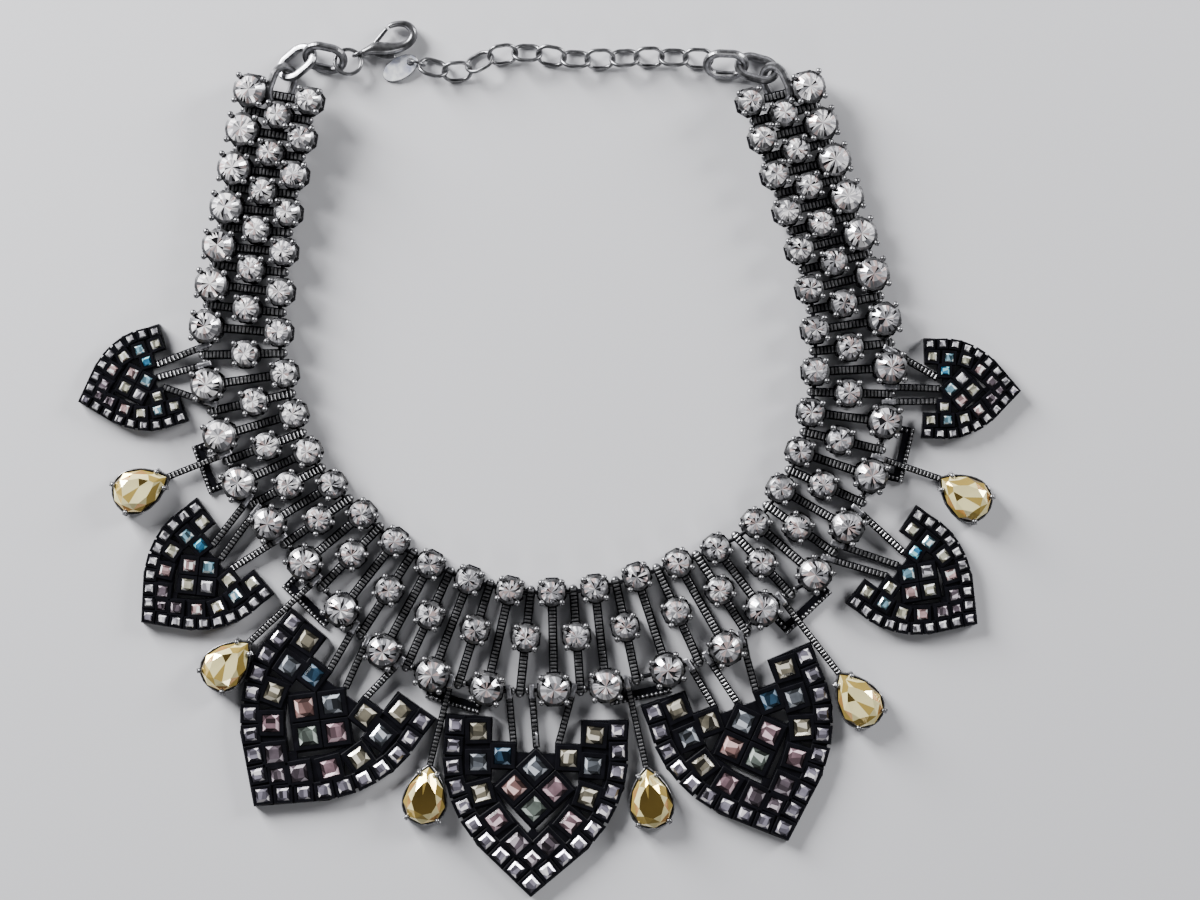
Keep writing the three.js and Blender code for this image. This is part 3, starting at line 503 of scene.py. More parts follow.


# Facet shades of the clear round stones, and their numbers: white, light and warm are painted highlights and
# painted reflections, grey and dark painted shade
CRYSTAL = [
    gem("crystal_white", (0.9, 0.88, 0.89), 0.2, 0.04),
    gem("crystal_light", (0.52, 0.51, 0.54), 0.3, 0.1),
    gem("crystal_warm", (0.5, 0.38, 0.37), 0.4, 0.15),
    gem("crystal_grey", (0.3, 0.3, 0.32), 0.5, 0.2),
    gem("crystal_dark", (0.04, 0.04, 0.045), 0.85, 0.3),
]
WHITE, LIGHT, GREY, NIGHT = 0, 1, 3, 4


def stone_shades(name, color):
    """Table, bright, middle and dark facets of one colour of square stone: the stone's colour, a painted
    highlight and two painted shades.
    """
    pale = [min(c * 2.3 + 0.22, 0.9) for c in color]
    table = gem(name + "_table", color, 0.5, 0.35, 300, 0.06)
    bright = gem(name + "_bright", pale, 0.3, 0.05, roughness=0.06)
    middle = gem(name + "_middle", [c * 0.55 for c in color], 0.6, 0.2, roughness=0.06)
    dark = gem(name + "_dark", [c * 0.16 for c in color], 0.6, 0.2, roughness=0.06)
    return [table, bright, middle, dark]


TILE_COLORS = {
    "lavender": (0.3, 0.28, 0.35),
    "champagne": (0.22, 0.2, 0.15),
    "green": (0.15, 0.18, 0.16),
    "rose": (0.27, 0.17, 0.2),
    "peach": (0.3, 0.17, 0.16),
    "blue": (0.03, 0.075, 0.13),
    "sky": (0.05, 0.27, 0.5),
    "mauve": (0.15, 0.12, 0.145),
    "pearl": (0.7, 0.68, 0.75),
    "cream": (0.68, 0.67, 0.52),
    "aqua": (0.26, 0.5, 0.63),
    "pink": (0.68, 0.45, 0.46),
    "steel": (0.15, 0.165, 0.19),
}
TILE_ORDER = list(TILE_COLORS)
TILE_MATERIALS = [shade for name in TILE_ORDER for shade in stone_shades("stone_" + name, TILE_COLORS[name])]
# The table keeps the stone's colour; bright is a painted highlight, middle and dark are painted shade
TILE_SHADES = 4
TABLE, BRIGHT, MIDDLE, DARK = range(TILE_SHADES)

# Shades of a square stone's facets, three on each side from the lit one on, and of its table's two halves
SIDE_SHADES = [
    [BRIGHT, BRIGHT, TABLE],
    [BRIGHT, MIDDLE, DARK],
    [MIDDLE, TABLE, BRIGHT],
    [DARK, DARK, MIDDLE],
]
TABLE_SHADES = [
    [TABLE, MIDDLE],
    [MIDDLE, TABLE],
    [TABLE, DARK],
    [BRIGHT, TABLE],
    [TABLE, BRIGHT],
    [TABLE, TABLE],
]

# Colours of the stones on the large panels and on the others
LARGE_PANEL = {
    "row": ["champagne", "steel", "champagne", "rose", "mauve"],
    "border": "lavender",
    "inner": "champagne",
    "inner_blue": "blue",
    "diamond": ["steel", "peach", "rose", "green"],
}
SMALL_PANEL = {
    "row": ["cream", "aqua", "cream", "pink", "mauve"],
    "border": "pearl",
    "inner": "cream",
    "inner_blue": "sky",
    "diamond": ["aqua", "pink", "pearl", "cream"],
}

# Facet shades of the champagne pear stones: gold is their colour, pale a painted highlight, pink and brown
# painted shade
CHAMPAGNE = [
    gem("champagne_pale", (0.98, 0.83, 0.42), 0.35, 0.1, 60),
    gem("champagne_gold", (0.62, 0.44, 0.11), 0.6, 0.2, 60),
    gem("champagne_pink", (0.55, 0.29, 0.09), 0.55, 0.2, 60),
    gem("champagne_brown", (0.13, 0.085, 0.018), 0.6, 0.3, 60),
]
PALE, GOLD, PINK, BROWN = range(4)

# Painted highlights and painted shade on the wedges of a pear's table, by its main shade, and on the four
# facets at each of its kites
TABLE_BANDS = {
    PALE: [PALE, PALE, PALE, PALE, GOLD, PALE, PALE, PALE, BROWN, PALE],
    BROWN: [BROWN] * (PEAR_FACETS - 1) + [GOLD],
}
KITE_SHADES = [
    [GOLD, PALE, PALE, GOLD],
    [PALE, GOLD, GOLD, GOLD],
    [BROWN, GOLD, PALE, PINK],
    [GOLD, PINK, PALE, PALE],
]

# How often each crystal shade comes in a round stone's rays and crown: on the arms, then on the lower bars,
# where more painted shade is drawn
RAY_WEIGHTS = [[30, 26, 12, 20, 12], [9, 18, 18, 34, 21]]
CROWN_WEIGHTS = [[26, 28, 11, 22, 13], [7, 21, 16, 35, 21]]


# Places on the collar, by the same curve as the solids


def route_at(bar):
    """The places of a bar's small and large stone."""
    last = len(BAR_STATIONS) - 1
    start = 0
    while start < last - 1 and BAR_STATIONS[start + 1][0] <= bar:
        start += 1

    def slope(row, column):
        before, after = BAR_STATIONS[max(row - 1, 0)], BAR_STATIONS[min(row + 1, last)]
        return (after[column] - before[column]) / (after[0] - before[0])

    a, b = BAR_STATIONS[start], BAR_STATIONS[start + 1]
    span = b[0] - a[0]
    s = (bar - a[0]) / span

    def value(column):
        return (
            (2 * s**3 - 3 * s**2 + 1) * a[column]
            + (s**3 - 2 * s**2 + s) * span * slope(start, column)
            + (3 * s**2 - 2 * s**3) * b[column]
            + (s**3 - s**2) * span * slope(start + 1, column)
        )

    return Vector((value(1), value(2))), Vector((value(3), value(4)))


def bar_frame(bar):
    """The frame of a bar at its large stone: X points outwards, and the end bars lean and lift."""
    inner, outer = route_at(bar)
    out = (outer - inner).normalized()
    from_end = min(bar - 1, LONG_BARS - bar)
    lean = math.cos(math.pi / 2 * from_end / LEAN_BARS) ** 2 if from_end < LEAN_BARS else 0
    lift = (1 - from_end / END_LIFT_BARS) ** 2 if from_end < END_LIFT_BARS else 0
    foot = SOLID_CUP_RADIUS * SOLID_FOOT_SHARE
    return (
        place(outer.x, outer.y, END_LIFT * lift)
        @ turned(math.atan2(out.y, out.x))
        @ place(foot, 0)
        @ turned(math.radians(LEAN_DEG * lean), "Y")
        @ place(-foot, 0)
    )


def bar_length(bar):
    inner, outer = route_at(bar)
    return (outer - inner).length


# Smooth curves


def catmull(points, share):
    """The point and direction at a share of a smooth curve's parameter."""
    spans = len(points) - 1
    reached = min(max(share, 0), 1) * spans
    i = min(int(reached), spans - 1)
    t = reached - i
    p0 = points[max(i - 1, 0)]
    p1, p2 = points[i], points[i + 1]
    p3 = points[min(i + 2, spans)]

    def curve(a, b, c, d, k):
        v0, v1 = (c - a) * 0.5, (d - b) * 0.5
        return (2 * b - 2 * c + v0 + v1) * k**3 + (-3 * b + 3 * c - 2 * v0 - v1) * k**2 + v0 * k + b

    def at(k):
        return Vector((curve(p0[0], p1[0], p2[0], p3[0], k), curve(p0[1], p1[1], p2[1], p3[1], k)))

    return at(t), at(min(t + 0.01, 1.0)) - at(max(t - 0.01, 0.0))


def measured(points, steps):
    """Fine points and directions along a smooth curve, with their distances from its start."""
    fine = [catmull(points, i / steps) for i in range(steps + 1)]
    lengths = [0.0]
    for i in range(steps):
        lengths.append(lengths[-1] + (fine[i + 1][0] - fine[i][0]).length)
    return fine, lengths


def at_distance(fine, lengths, distance):
    return fine[min(range(len(fine)), key=lambda k: abs(lengths[k] - distance))]


# Collar


def ridged_strip(batch, start, end, matrix, width, height, pitch):
    """A black strip along X, crossed by a row of short metal ridges in the lighter ridge metal, a painted
    highlight.
    """
    core = block((start, -width / 2, CORE_BASE), (end, width / 2, height * CORE_SHARE))
    batch.add(*core, matrix, ENAMEL)
    count = max(int((end - start) / pitch), 1)
    step = (end - start) / count
    for i in range(count):
        x = start + step * (i + 0.5)
        low = (x - step * RIDGE_REACH, -width * RIDGE_SHARE, height / 2)
        high = (x + step * RIDGE_REACH, width * RIDGE_SHARE, height)
        batch.add(*bevelled_block(low, high, RIDGE_EDGE), matrix, RIDGE)


def bar_strip(batch, start, end, matrix):
    ridged_strip(batch, start, end, matrix, RIDGE_WIDTH, BAR_HEIGHT, RIDGE_PITCH)


def round_setting(batch, x, diameter, prong_reach, matrix):
    """A ribbed cup with four ball-tipped prongs on its diagonals."""
    at = matrix @ place(x, 0)
    radius = diameter / 2 + CUP_WALL
    foot = radius * CUP_FOOT_SHARE
    cup = [(radius * share, z) for share, z in CUP_PROFILE]
    batch.add(*lathe(cup, CUP_SIDES), at, PLAIN, True)
    # The black foot: partly the cup's dark foot, partly a dark sheet in place of shade on the floor round it
    flange = [(diameter / 2 + FLANGE + out, z) for out, z in FLANGE_PROFILE]
    batch.add(*lathe(flange, FLANGE_SIDES), at, ENAMEL)
    for i in range(RIBS):
        angle = (2 * i + 1) * math.pi / RIBS
        rib = block((foot * 0.98, -RIB_WIDTH / 2, 0.1), (radius + 0.12, RIB_WIDTH / 2, RIB_TOP))
        batch.add(*rib, at @ turned(angle))
    for i in range(PRONGS):
        around = at @ turned((2 * i + 1) * math.pi / PRONGS)
        tip = prong_reach - PRONG_BALL
        post = [(foot * 0.95, 0, PRONG_FOOT), (tip + 0.05, 0, PRONG_BEND), (tip, 0, CUP_HEIGHT)]
        batch.add(*tube([Vector(p) for p in post], PRONG_POST), around, PLAIN, True)
        batch.add(*ball(PRONG_BALL * 1.05, 10, 7), around @ place(tip, 0, CUP_HEIGHT + 0.1), PLAIN, True)


def round_stone(batch, x, diameter, matrix, draw, bar):
    """A round stone whose crown and table show the pavilion's thin rays as painted reflections and painted
    shade.
    """
    # On the lower bars more facets are drawn dark: painted shade over the lower collar
    in_painted_shade = int(LOWER_BARS[0] < bar < LOWER_BARS[1])
    bright = (WHITE, LIGHT)[in_painted_shade]
    r = diameter / 2 - STONE_INSET
    at = matrix @ place(x, 0) @ turned(draw.uniform(0, math.pi))
    angles = [2 * math.pi * (i + draw.uniform(-RAY_SPREAD, RAY_SPREAD)) / RAYS for i in range(RAYS)]
    girdle = regular(RAYS, r, 0)
    table = [(r * TABLE_SHARE * math.cos(a), r * TABLE_SHARE * math.sin(a)) for a in angles]
    verts = at_height(girdle, STONE_BASE) + at_height(girdle, STONE_GIRDLE) + at_height(table, STONE_TABLE)
    verts.append((0, 0, STONE_MIDDLE))
    faces, slots = [], []
    for i in range(RAYS):
        k = (i + 1) % RAYS
        ray = draw.choices(range(5), RAY_WEIGHTS[in_painted_shade])[0]
        faces.append([i, k, RAYS + k, RAYS + i])
        faces.append([RAYS + i, RAYS + k, 2 * RAYS + i])
        faces.append([RAYS + k, 2 * RAYS + k, 2 * RAYS + i])
        faces.append([2 * RAYS + i, 2 * RAYS + k, 3 * RAYS])
        crown = draw.choices(range(5), CROWN_WEIGHTS[in_painted_shade])[0]
        slots += [GREY, crown, draw.choice([ray, bright, GREY]), ray]
    faces.append(list(range(RAYS - 1, -1, -1)))
    slots.append(NIGHT)
    batch.add(verts, faces, at, slots)


def cord_points(share):
    """Points along a cord that crosses the bars at a share of their length, from the large stones."""
    points = []
    count = (LONG_BARS - 1) * CORD_STEPS
    for i in range(count + 1):
        bar = 1 + (LONG_BARS - 1) * i / count
        points.append(bar_frame(bar) @ Vector((-share * bar_length(bar), 0, CORD_HEIGHT)))
    return points


def spacers(batch):
    """Small beads on the outer cord, one on each side of every short bar."""
    for bar in range(1, LONG_BARS):
        for side in (-1, 1):
            spot = bar + 0.5 + side * SPACER_OFFSET
            ahead = bar_frame(spot + 0.02) @ Vector((0, 0, CORD_HEIGHT))
            centre = bar_frame(spot) @ Vector((0, 0, CORD_HEIGHT))
            run = ahead - centre
            at = Matrix.Translation(centre) @ turned(math.atan2(run.y, run.x))
            batch.add(*lathe(SPACER_PROFILE, 10), at @ turned(math.pi / 2, "Y"), PLAIN, True)


def collar():
    metal, stones = Batch(), Batch()
    draw = random.Random(COLLAR_SEED)
    for bar in range(1, LONG_BARS + 1):
        at, length = bar_frame(bar), bar_length(bar)
        bar_strip(metal, -length + FROM_SMALL, -FROM_LARGE, at)
        round_setting(metal, 0, LARGE_CUP, LARGE_PRONG_REACH, at)
        round_setting(metal, -length, SMALL_CUP, SMALL_PRONG_REACH, at)
        round_stone(stones, 0, LARGE_CUP, at, draw, bar)
        round_stone(stones, -length, SMALL_CUP, at, draw, bar)
    for bar in range(1, LONG_BARS):
        at, length = bar_frame(bar + 0.5), bar_length(bar + 0.5)
        stone_x = -length * (1 - SHORT_STONE_SHARE)
        bar_strip(metal, -length - SHORT_INNER_REACH + FROM_END, stone_x - FROM_SMALL, at)
        bar_strip(metal, stone_x + FROM_SMALL, SHORT_OUTER_REACH - FROM_END, at)
        round_setting(metal, stone_x, SMALL_CUP, SMALL_PRONG_REACH, at)
        round_stone(stones, stone_x, SMALL_CUP, at, draw, bar)
        for x in (-length - SHORT_INNER_REACH + END_BALL, SHORT_OUTER_REACH - END_BALL):
            metal.add(*ball(END_BALL, 12, 9), at @ place(x, 0, BAR_HEIGHT / 2), PLAIN, True)
    for share in (0, 1):
        metal.add(*tube(cord_points(share), CORD_DIAMETER / 2, 8), None, ENAMEL, True)
    spacers(metal)
    for x, y, heading, roll in (LEFT_END_LINK, RIGHT_END_LINK):
        curb(metal, x, y, heading, roll)
    body = metal.make("collar_metal", METALS)
    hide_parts("collar_left", "collar_right")
    stones.make("round_stones", CRYSTAL)


# Panels


def row_places(route, count):
    """Equally spaced points along a row, with their directions."""
    fine, lengths = measured([(x * HALF_WIDTH, y * PANEL_LENGTH) for x, y in route], ROW_STEPS)
    return [at_distance(fine, lengths, lengths[-1] * i / (count - 1)) for i in range(count)]


def square_stone(batch, side, matrix, color, draw):
    """A square stone: three facets on each side round a table whose two halves differ, in painted highlight
    and painted shade.
    """
    half, table = side / 2, side * TILE_TABLE_SHARE
    corners = rectangle(-1, -1, 1, 1)
    middles = [(0, -1), (1, 0), (0, 1), (-1, 0)]
    verts = [(x * half, y * half, -0.3) for x, y in corners]
    verts += [(x * half, y * half, TILE_HEIGHT * 0.3) for x, y in corners + middles]
    verts += [(x * table, y * table, TILE_HEIGHT) for x, y in corners]
    split = draw.uniform(-TILE_SPLIT, TILE_SPLIT) * table
    verts += [(split, -table, TILE_HEIGHT - 0.04), (-split, table, TILE_HEIGHT - 0.04)]
    # A side picked at random is the lit one; SIDE_SHADES paints highlight and shade on each side from it
    lit = draw.randrange(4)
    faces, shades = [[3, 2, 1, 0]], [DARK]
    for i in range(4):
        k = (i + 1) % 4
        faces.append([i, k, 4 + k, 8 + i, 4 + i])
        faces += [[4 + i, 8 + i, 12 + i], [8 + i, 12 + k, 12 + i], [8 + i, 4 + k, 12 + k]]
        shades += [DARK] + SIDE_SHADES[(i - lit) % 4]
    faces += [[12, 16, 17, 15], [16, 13, 14, 17], [12, 13, 16], [14, 15, 17]]
    shades += draw.choice(TABLE_SHADES) + [TABLE, TABLE]
    first = TILE_SHADES * TILE_ORDER.index(color)
    batch.add(verts, faces, matrix, [first + shade for shade in shades])


def cell(batch, side, matrix, rim):
    """The raised square rim round one stone."""
    inner, outer = side / 2 - 0.02, side / 2 + rim
    profile = [
        (outer, -RIM_DEPTH),
        (outer, RIM_HEIGHT - 0.25),
        (outer - 0.2, RIM_HEIGHT),
        (inner + 0.1, RIM_HEIGHT),
        (inner, -RIM_DEPTH),
    ]
    rings = [at_height(rectangle(-reach, -reach, reach, reach), z) for reach, z in profile]
    verts, faces = lofted(rings, close_bottom=False, close_top=False)
    batch.add(verts, faces, matrix)


def is_large(name):
    return "large" in name or name == "center"


def panel_stones(name, border_count):
    """The panel's stones: side, x, y, turn, colour."""
    colors = LARGE_PANEL if is_large(name) else SMALL_PANEL
    mirror = -1 if name.startswith("right") else 1
    stones = []
    row = row_places(ROW_ROUTE, len(colors["row"]))
    border = row_places(BORDER_ROUTE, border_count + 1)
    for sign in (-1, 1):
        for (point, run), color in zip(row, colors["row"]):
            stones.append([ROW_TILE, sign * point.x, point.y, sign * math.atan2(run.y, run.x), color])
        for point, run in border[:-1]:
            turn = sign * math.atan2(run.y, run.x)
            stones.append([BORDER_TILE, sign * point.x, point.y, turn, colors["border"]])
        inner_color = colors["inner_blue"] if sign * mirror < 0 else colors["inner"]
        stones.append([ROW_TILE, sign * INNER_X, INNER_Y, 0, inner_color])
    stones.append([BORDER_TILE * 1.05, 0, border[-1][0].y, math.pi / 4, "lavender"])
    stones.append([BORDER_TILE, 0, ROW_TIP_Y, math.pi / 4, "mauve"])
    for (x, y), color in zip([(0, 1), (-1, 0), (1, 0), (0, -1)], colors["diamond"]):
        stones.append([DIAMOND_TILE, x * DIAMOND_OFFSET, y * DIAMOND_OFFSET, math.pi / 4, color])
    return stones


def plate_of(name):
    """The pierced plate of a panel without its solid stones, from the CAD node's own mesh."""
    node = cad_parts["panel_" + name]
    mesh = bpy.data.meshes.new("plate_" + name)
    plate = bmesh.new()
    plate.from_mesh(node.data)
    bmesh.ops.remove_doubles(plate, verts=plate.verts, dist=1e-6)
    everything = plate.verts[:] + plate.edges[:] + plate.faces[:]
    top = (0, 0, (PLATE - 0.01) * MM)
    cut = bmesh.ops.bisect_plane(plate, geom=everything, plane_co=top, plane_no=(0, 0, 1), clear_outer=True)
    edges = [item for item in cut["geom_cut"] if isinstance(item, bmesh.types.BMEdge)]
    bmesh.ops.triangle_fill(plate, use_beauty=True, edges=edges, normal=(0, 0, 1))
    plate.to_mesh(mesh)
    plate.free()
    mesh.materials.append(BLACK)
    obj = bpy.data.objects.new("plate_" + name, mesh)
    bpy.context.scene.collection.objects.link(obj)
    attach(obj, "necklace")
    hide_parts("panel_" + name)
    return obj


def panel_frame(x, y, scale, heading):
    """The diamond's centre, from the shoulders' middle."""
    shoulders = BORDER_ROUTE[0][1] * PANEL_LENGTH * scale
    return place(x, y) @ turned(math.radians(-heading)) @ place(0, -shoulders)


def panels():
    rims, stones = Batch(), Batch()
    draw = random.Random(PANEL_SEED)
    for name, x, y, scale, heading, border_count, _ in PANELS:
        at = panel_frame(x, y, scale, heading) @ Matrix.Diagonal((scale, scale, 1, 1))
        share = STONE_SHARE if is_large(name) else SMALL_STONE_SHARE
        for side, stone_x, stone_y, turn, color in panel_stones(name, border_count):
            spot = at @ place(stone_x, stone_y, PLATE) @ turned(turn)
            rim = SMALL_RIM if side < ROW_TILE else LARGE_RIM
            cell(rims, side * share, spot, rim + side * (1 - share) / 2)
            square_stone(stones, side * share, spot, color, draw)
        plate_of(name)
    rims.make("mosaic_rims", [BLACK])
    stones.make("mosaic_stones", TILE_MATERIALS)


# Hangers, drops and brackets


def eye_bar(short_bar, side):
    """Where on the route, in bars, a hanger's eye lies: free of the stones beside a short bar."""
    middle = short_bar + 0.5
    stone = middle + side / 2
    half_pitch = (route_at(middle)[1] - route_at(stone)[1]).length
    widening = (1 - SOLID_FOOT_SHARE) * (CORD_HEIGHT + EYE_RISE) / CUP_HEIGHT
    cup = SOLID_CUP_RADIUS * (SOLID_FOOT_SHARE + widening)
    free = (BAR_WIDTH / 2 + (half_pitch - cup)) / 2
    return middle + side / 2 * (free / half_pitch)


def cord_point(bar):
    return bar_frame(bar) @ Vector((0, 0, CORD_HEIGHT))


def beaded_run(batch, start, end, size, pitch):
    """A straight black strip with metal ridges across it."""
    run = end - start
    turn = Matrix.Translation(start) @ run.to_track_quat("X", "Z").to_matrix().to_4x4()
    ridged_strip(batch, 0, run.length, turn @ place(0, 0, -size / 2), size, size, pitch)


def hook(batch, eye, run):
    """The bright folded loop of a hanger over the cord."""
    turn = Matrix.Translation(eye) @ turned(math.atan2(run.y, run.x))
    for low, high in (HOOK_TOP, HOOK_END):
        batch.add(*bevelled_block(low, high, HOOK_EDGE), turn, FILED)


def hangers():
    batch = Batch()
    corner = DIAMOND_OFFSET + DIAMOND_TILE / math.sqrt(2) + PLATE_MARGIN * math.sqrt(2)
    for name, x, y, scale, heading, _, bar in PANELS:
        panel = panel_frame(x, y, scale, heading)
        spots = [eye_bar(bar, -1), eye_bar(bar, 1), eye_bar(bar + 1, -1)]
        for side, spot in zip((-1, 0, 1), spots):
            top = corner if side == 0 else INNER_Y + ROW_TILE / 2 + PLATE_MARGIN
            across = side * INNER_X * HANGER_FOOT_SHARE * scale
            foot = panel @ Vector((across, top * scale + HANGER_FOOT_RISE, PLATE / 2))
            eye = cord_point(spot)
            run = (foot - eye).normalized()
            beaded_run(batch, eye + run * STRIP_START, foot + run, *HANGER_STRIP)
            hook(batch, eye, run)
            if side == 0 and name == "center":
                above = Matrix.Translation(foot + Vector(STANDING_PLACE))
                standing = above @ turned(math.atan2(run.y, run.x)) @ turned(math.pi / 2, "X")
                batch.add(*link(*STANDING_LINK, 16, 8), standing, FILED, True)
    batch.make("hanger_beads", METALS)


def pear_point(share, length, inset, scale=1.0):
    """A point of the pear's outline at a share of the way round from its point."""
    angle = 2 * math.pi * share
    along = (1 - math.cos(angle)) / 2
    across = math.sin(angle) * abs(math.sin(angle / 2)) ** 0.75 / 0.8
    centre = length * PEAR_MIDDLE
    x = inset * 1.6 + along * (length - inset * 2.6)
    y = across * (PEAR_WIDTH / 2 - inset)
    return centre + (x - centre) * scale, y * scale


def pear(batch, length, matrix, table_shade):
    """A pear stone: girdle, a row of kites, bezel facets and a large table, in painted highlights and
    painted shade.
    """
    count = PEAR_FACETS
    bottom = PEAR_BACK + 0.3
    verts = []
    for scale, rise, turn in PEAR_RINGS:
        outline = [pear_point((i + turn) / count, length, PEAR_INSET, scale) for i in range(count)]
        verts += at_height(outline, bottom + rise)
    faces, slots = [], []
    for level in range(2):
        for i in range(count):
            a, b = level * count + i, level * count + (i + 1) % count
            faces.append([a, b, b + count, a + count])
            slots.append(BROWN)
    for i in range(count):
        g0, g1 = 2 * count + i, 2 * count + (i + 1) % count
        k, k1 = 3 * count + i, 3 * count + (i + 1) % count
        t0, t1 = 4 * count + i, 4 * count + (i + 1) % count
        faces += [[g0, g1, k], [k, g1, k1], [t0, k, t1], [t1, k, k1]]
        slots += KITE_SHADES[i % 4]
    verts.append((length * PEAR_TABLE[0], PEAR_TABLE[1], bottom + PEAR_TABLE[2]))
    for i in range(count):
        faces.append([4 * count + i, 4 * count + (i + 1) % count, 5 * count])
        slots.append(TABLE_BANDS[table_shade][i])
    faces.append(list(range(count - 1, -1, -1)))
    slots.append(BROWN)
    batch.add(verts, faces, matrix, slots)


def pear_rim(batch, length, matrix):
    """A low rim round the back of a pear."""
    points = [pear_point(i / PEAR_RIM_STEPS, length, PEAR_INSET / 2) for i in range(PEAR_RIM_STEPS + 1)]
    path = [matrix @ Vector((x, y, PEAR_BACK)) for x, y in points]
    batch.add(*tube(path, PEAR_RIM_WIRE / 2), None, PLAIN, True)


def pear_prongs(batch, length, matrix):
    """Four ball-tipped prongs round a pear."""
    for share in PEAR_PRONGS:
        x, y = pear_point(share, length, 0)
        spot = matrix @ place(x, y) @ turned(math.atan2(y, x - length * PEAR_MIDDLE))
        batch.add(*bevelled_block(PEAR_PRONG_LOW, PEAR_PRONG_HIGH, PEAR_PRONG_EDGE), spot)
        batch.add(*ball(PEAR_BALL, 10, 7), spot @ place(*PEAR_BALL_PLACE), PLAIN, True)


def bracket_beads(batch, bar, reach):
    """Beads along a bracket's outer edge and its two arms."""
    inner, outer = route_at(bar + 0.5)
    out = (outer - inner).normalized()
    flat = place(outer.x, outer.y) @ turned(math.atan2(out.y, out.x))
    inverse = flat.inverted()
    ends = [inverse @ Vector((*route_at(k)[1], 0)) for k in (bar, bar + 1)]
    ends.sort(key=lambda p: p.y)
    low, high = ends[0].y + EDGE_MARGIN, ends[1].y - EDGE_MARGIN
    count = int((high - low) / BEAD_PITCH)
    for i in range(count + 1):
        y = low + (high - low) * i / count
        batch.add(*ball(EDGE_BEAD), flat @ place(reach - EDGE_INSET, y, BEAD_HEIGHT), PLAIN, True)
    for end, sign in ((ends[0], 1), (ends[1], -1)):
        first = end.x + ARM_START
        steps = max(int((reach - first) / BEAD_PITCH), 1)
        for i in range(steps):
            x = first + (reach - first) * (i + 0.5) / steps
            batch.add(*ball(ARM_BEAD), flat @ place(x, end.y + sign * ARM_OFFSET, BEAD_HEIGHT), PLAIN, True)


def drops():
    metal, pears = Batch(), Batch()
    for name, x0, y0, x1, y1, reach, bar in DROPS:
        start, end = Vector((x0, y0, 0)), Vector((x1, y1, 0))
        length = (end - start).length
        at = Matrix.Translation(start) @ turned(math.atan2(y1 - y0, x1 - x0))
        # The inner pears' tables get the brown painted shade, the others the pale painted highlight
        pear(pears, length, at, BROWN if "inner" in name else PALE)
        pear_rim(metal, length, at)
        pear_prongs(metal, length, at)
        eye = cord_point(eye_bar(bar, -1))
        foot = at @ Vector(DROP_EYE)
        run = (foot - eye).normalized()
        beaded_run(metal, eye + run * STRIP_START, foot - run * DROP_STRIP_GAP, *DROP_STRIP)
        hook(metal, eye, run)
        bracket_beads(metal, bar, reach)
    metal.make("drop_prongs", METALS)
    stones = pears.make("pear_stones", CHAMPAGNE)
    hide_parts(*["pear_" + row[0] for row in DROPS])


# Chains, rings and clasp


def curb(batch, x, y, heading, roll):
    """One heavy link, filed flat above and below, with its filed sides bright."""
    at = link_frame(x, y, rest_height(CURB_WIDTH, CURB_WIRE, roll), heading, roll)
    verts, faces = link(CURB_LENGTH, CURB_WIDTH, CURB_WIRE, 36, 12, CURB_FLAT)
    slots = []
    for face in faces:
        flat = all(abs(abs(verts[k][2]) - CURB_WIRE / 2 * CURB_FLAT) < 1e-4 for k in face)
        slots.append(FILED if flat else LINK)
    batch.add(verts, faces, at, slots)


def chain_places():
    """The extension chain's links, equally spaced: x, y, heading."""
    fine, lengths = measured(CHAIN_ROUTE, CHAIN_STEPS)
    places = []
    for i in range(CHAIN_LINKS):
        point, run = at_distance(fine, lengths, i * CHAIN_PITCH)
        places.append((point.x, point.y, math.degrees(math.atan2(run.y, run.x))))
    return places


def following(first, rows):
    """The links after a first one, each reached by its bearing."""
    x, y = first[:2]
    links = []
    for bearing, reach, heading, roll in rows:
        angle = math.radians(bearing)
        x += reach * CURB_LENGTH * math.cos(angle)
        y += reach * CURB_LENGTH * math.sin(angle)
        links.append((x, y, heading, roll))
    return links


def finished(batch, name, materials, node, body="necklace"):
    """A piece that takes a CAD node's place."""
    obj = batch.make(name, materials, body)
    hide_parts(node)


def chains():
    for side, first, rows in (("left", LEFT_END_LINK, LEFT_LINKS), ("right", RIGHT_END_LINK, RIGHT_LINKS)):
        batch = Batch()
        for x, y, heading, roll in following(first, rows):
            curb(batch, x, y, heading, roll)
        finished(batch, "curb_links_" + side, METALS, "curb_chain_" + side)
    batch = Batch()
    z = rest_height(CHAIN_WIDTH, CHAIN_WIRE, CHAIN_ROLL)
    for i, (x, y, heading) in enumerate(chain_places()):
        roll = -CHAIN_ROLL if i % 2 == 0 else CHAIN_ROLL
        at = link_frame(x, y, z, heading, roll)
        batch.add(*link(CHAIN_LENGTH, CHAIN_WIDTH, CHAIN_WIRE), at, smooth=True)
    finished(batch, "extension_links", [DARK_CHAIN], "extension_chain")
    batch = Batch()
    batch.add(*link(JUMP_RING, JUMP_RING, JUMP_WIRE), link_frame(*JUMP_PLACE), smooth=True)
    finished(batch, "round_jump_ring", [DARK_CHAIN], "jump_ring")


def past_chain(reach):
    """A point past the last link's end, and its heading."""
    x, y, heading = chain_places()[-1]
    distance = (CHAIN_LENGTH - CHAIN_WIRE) / 2 + reach
    angle = math.radians(heading)
    return x + distance * math.cos(angle), y + distance * math.sin(angle), heading


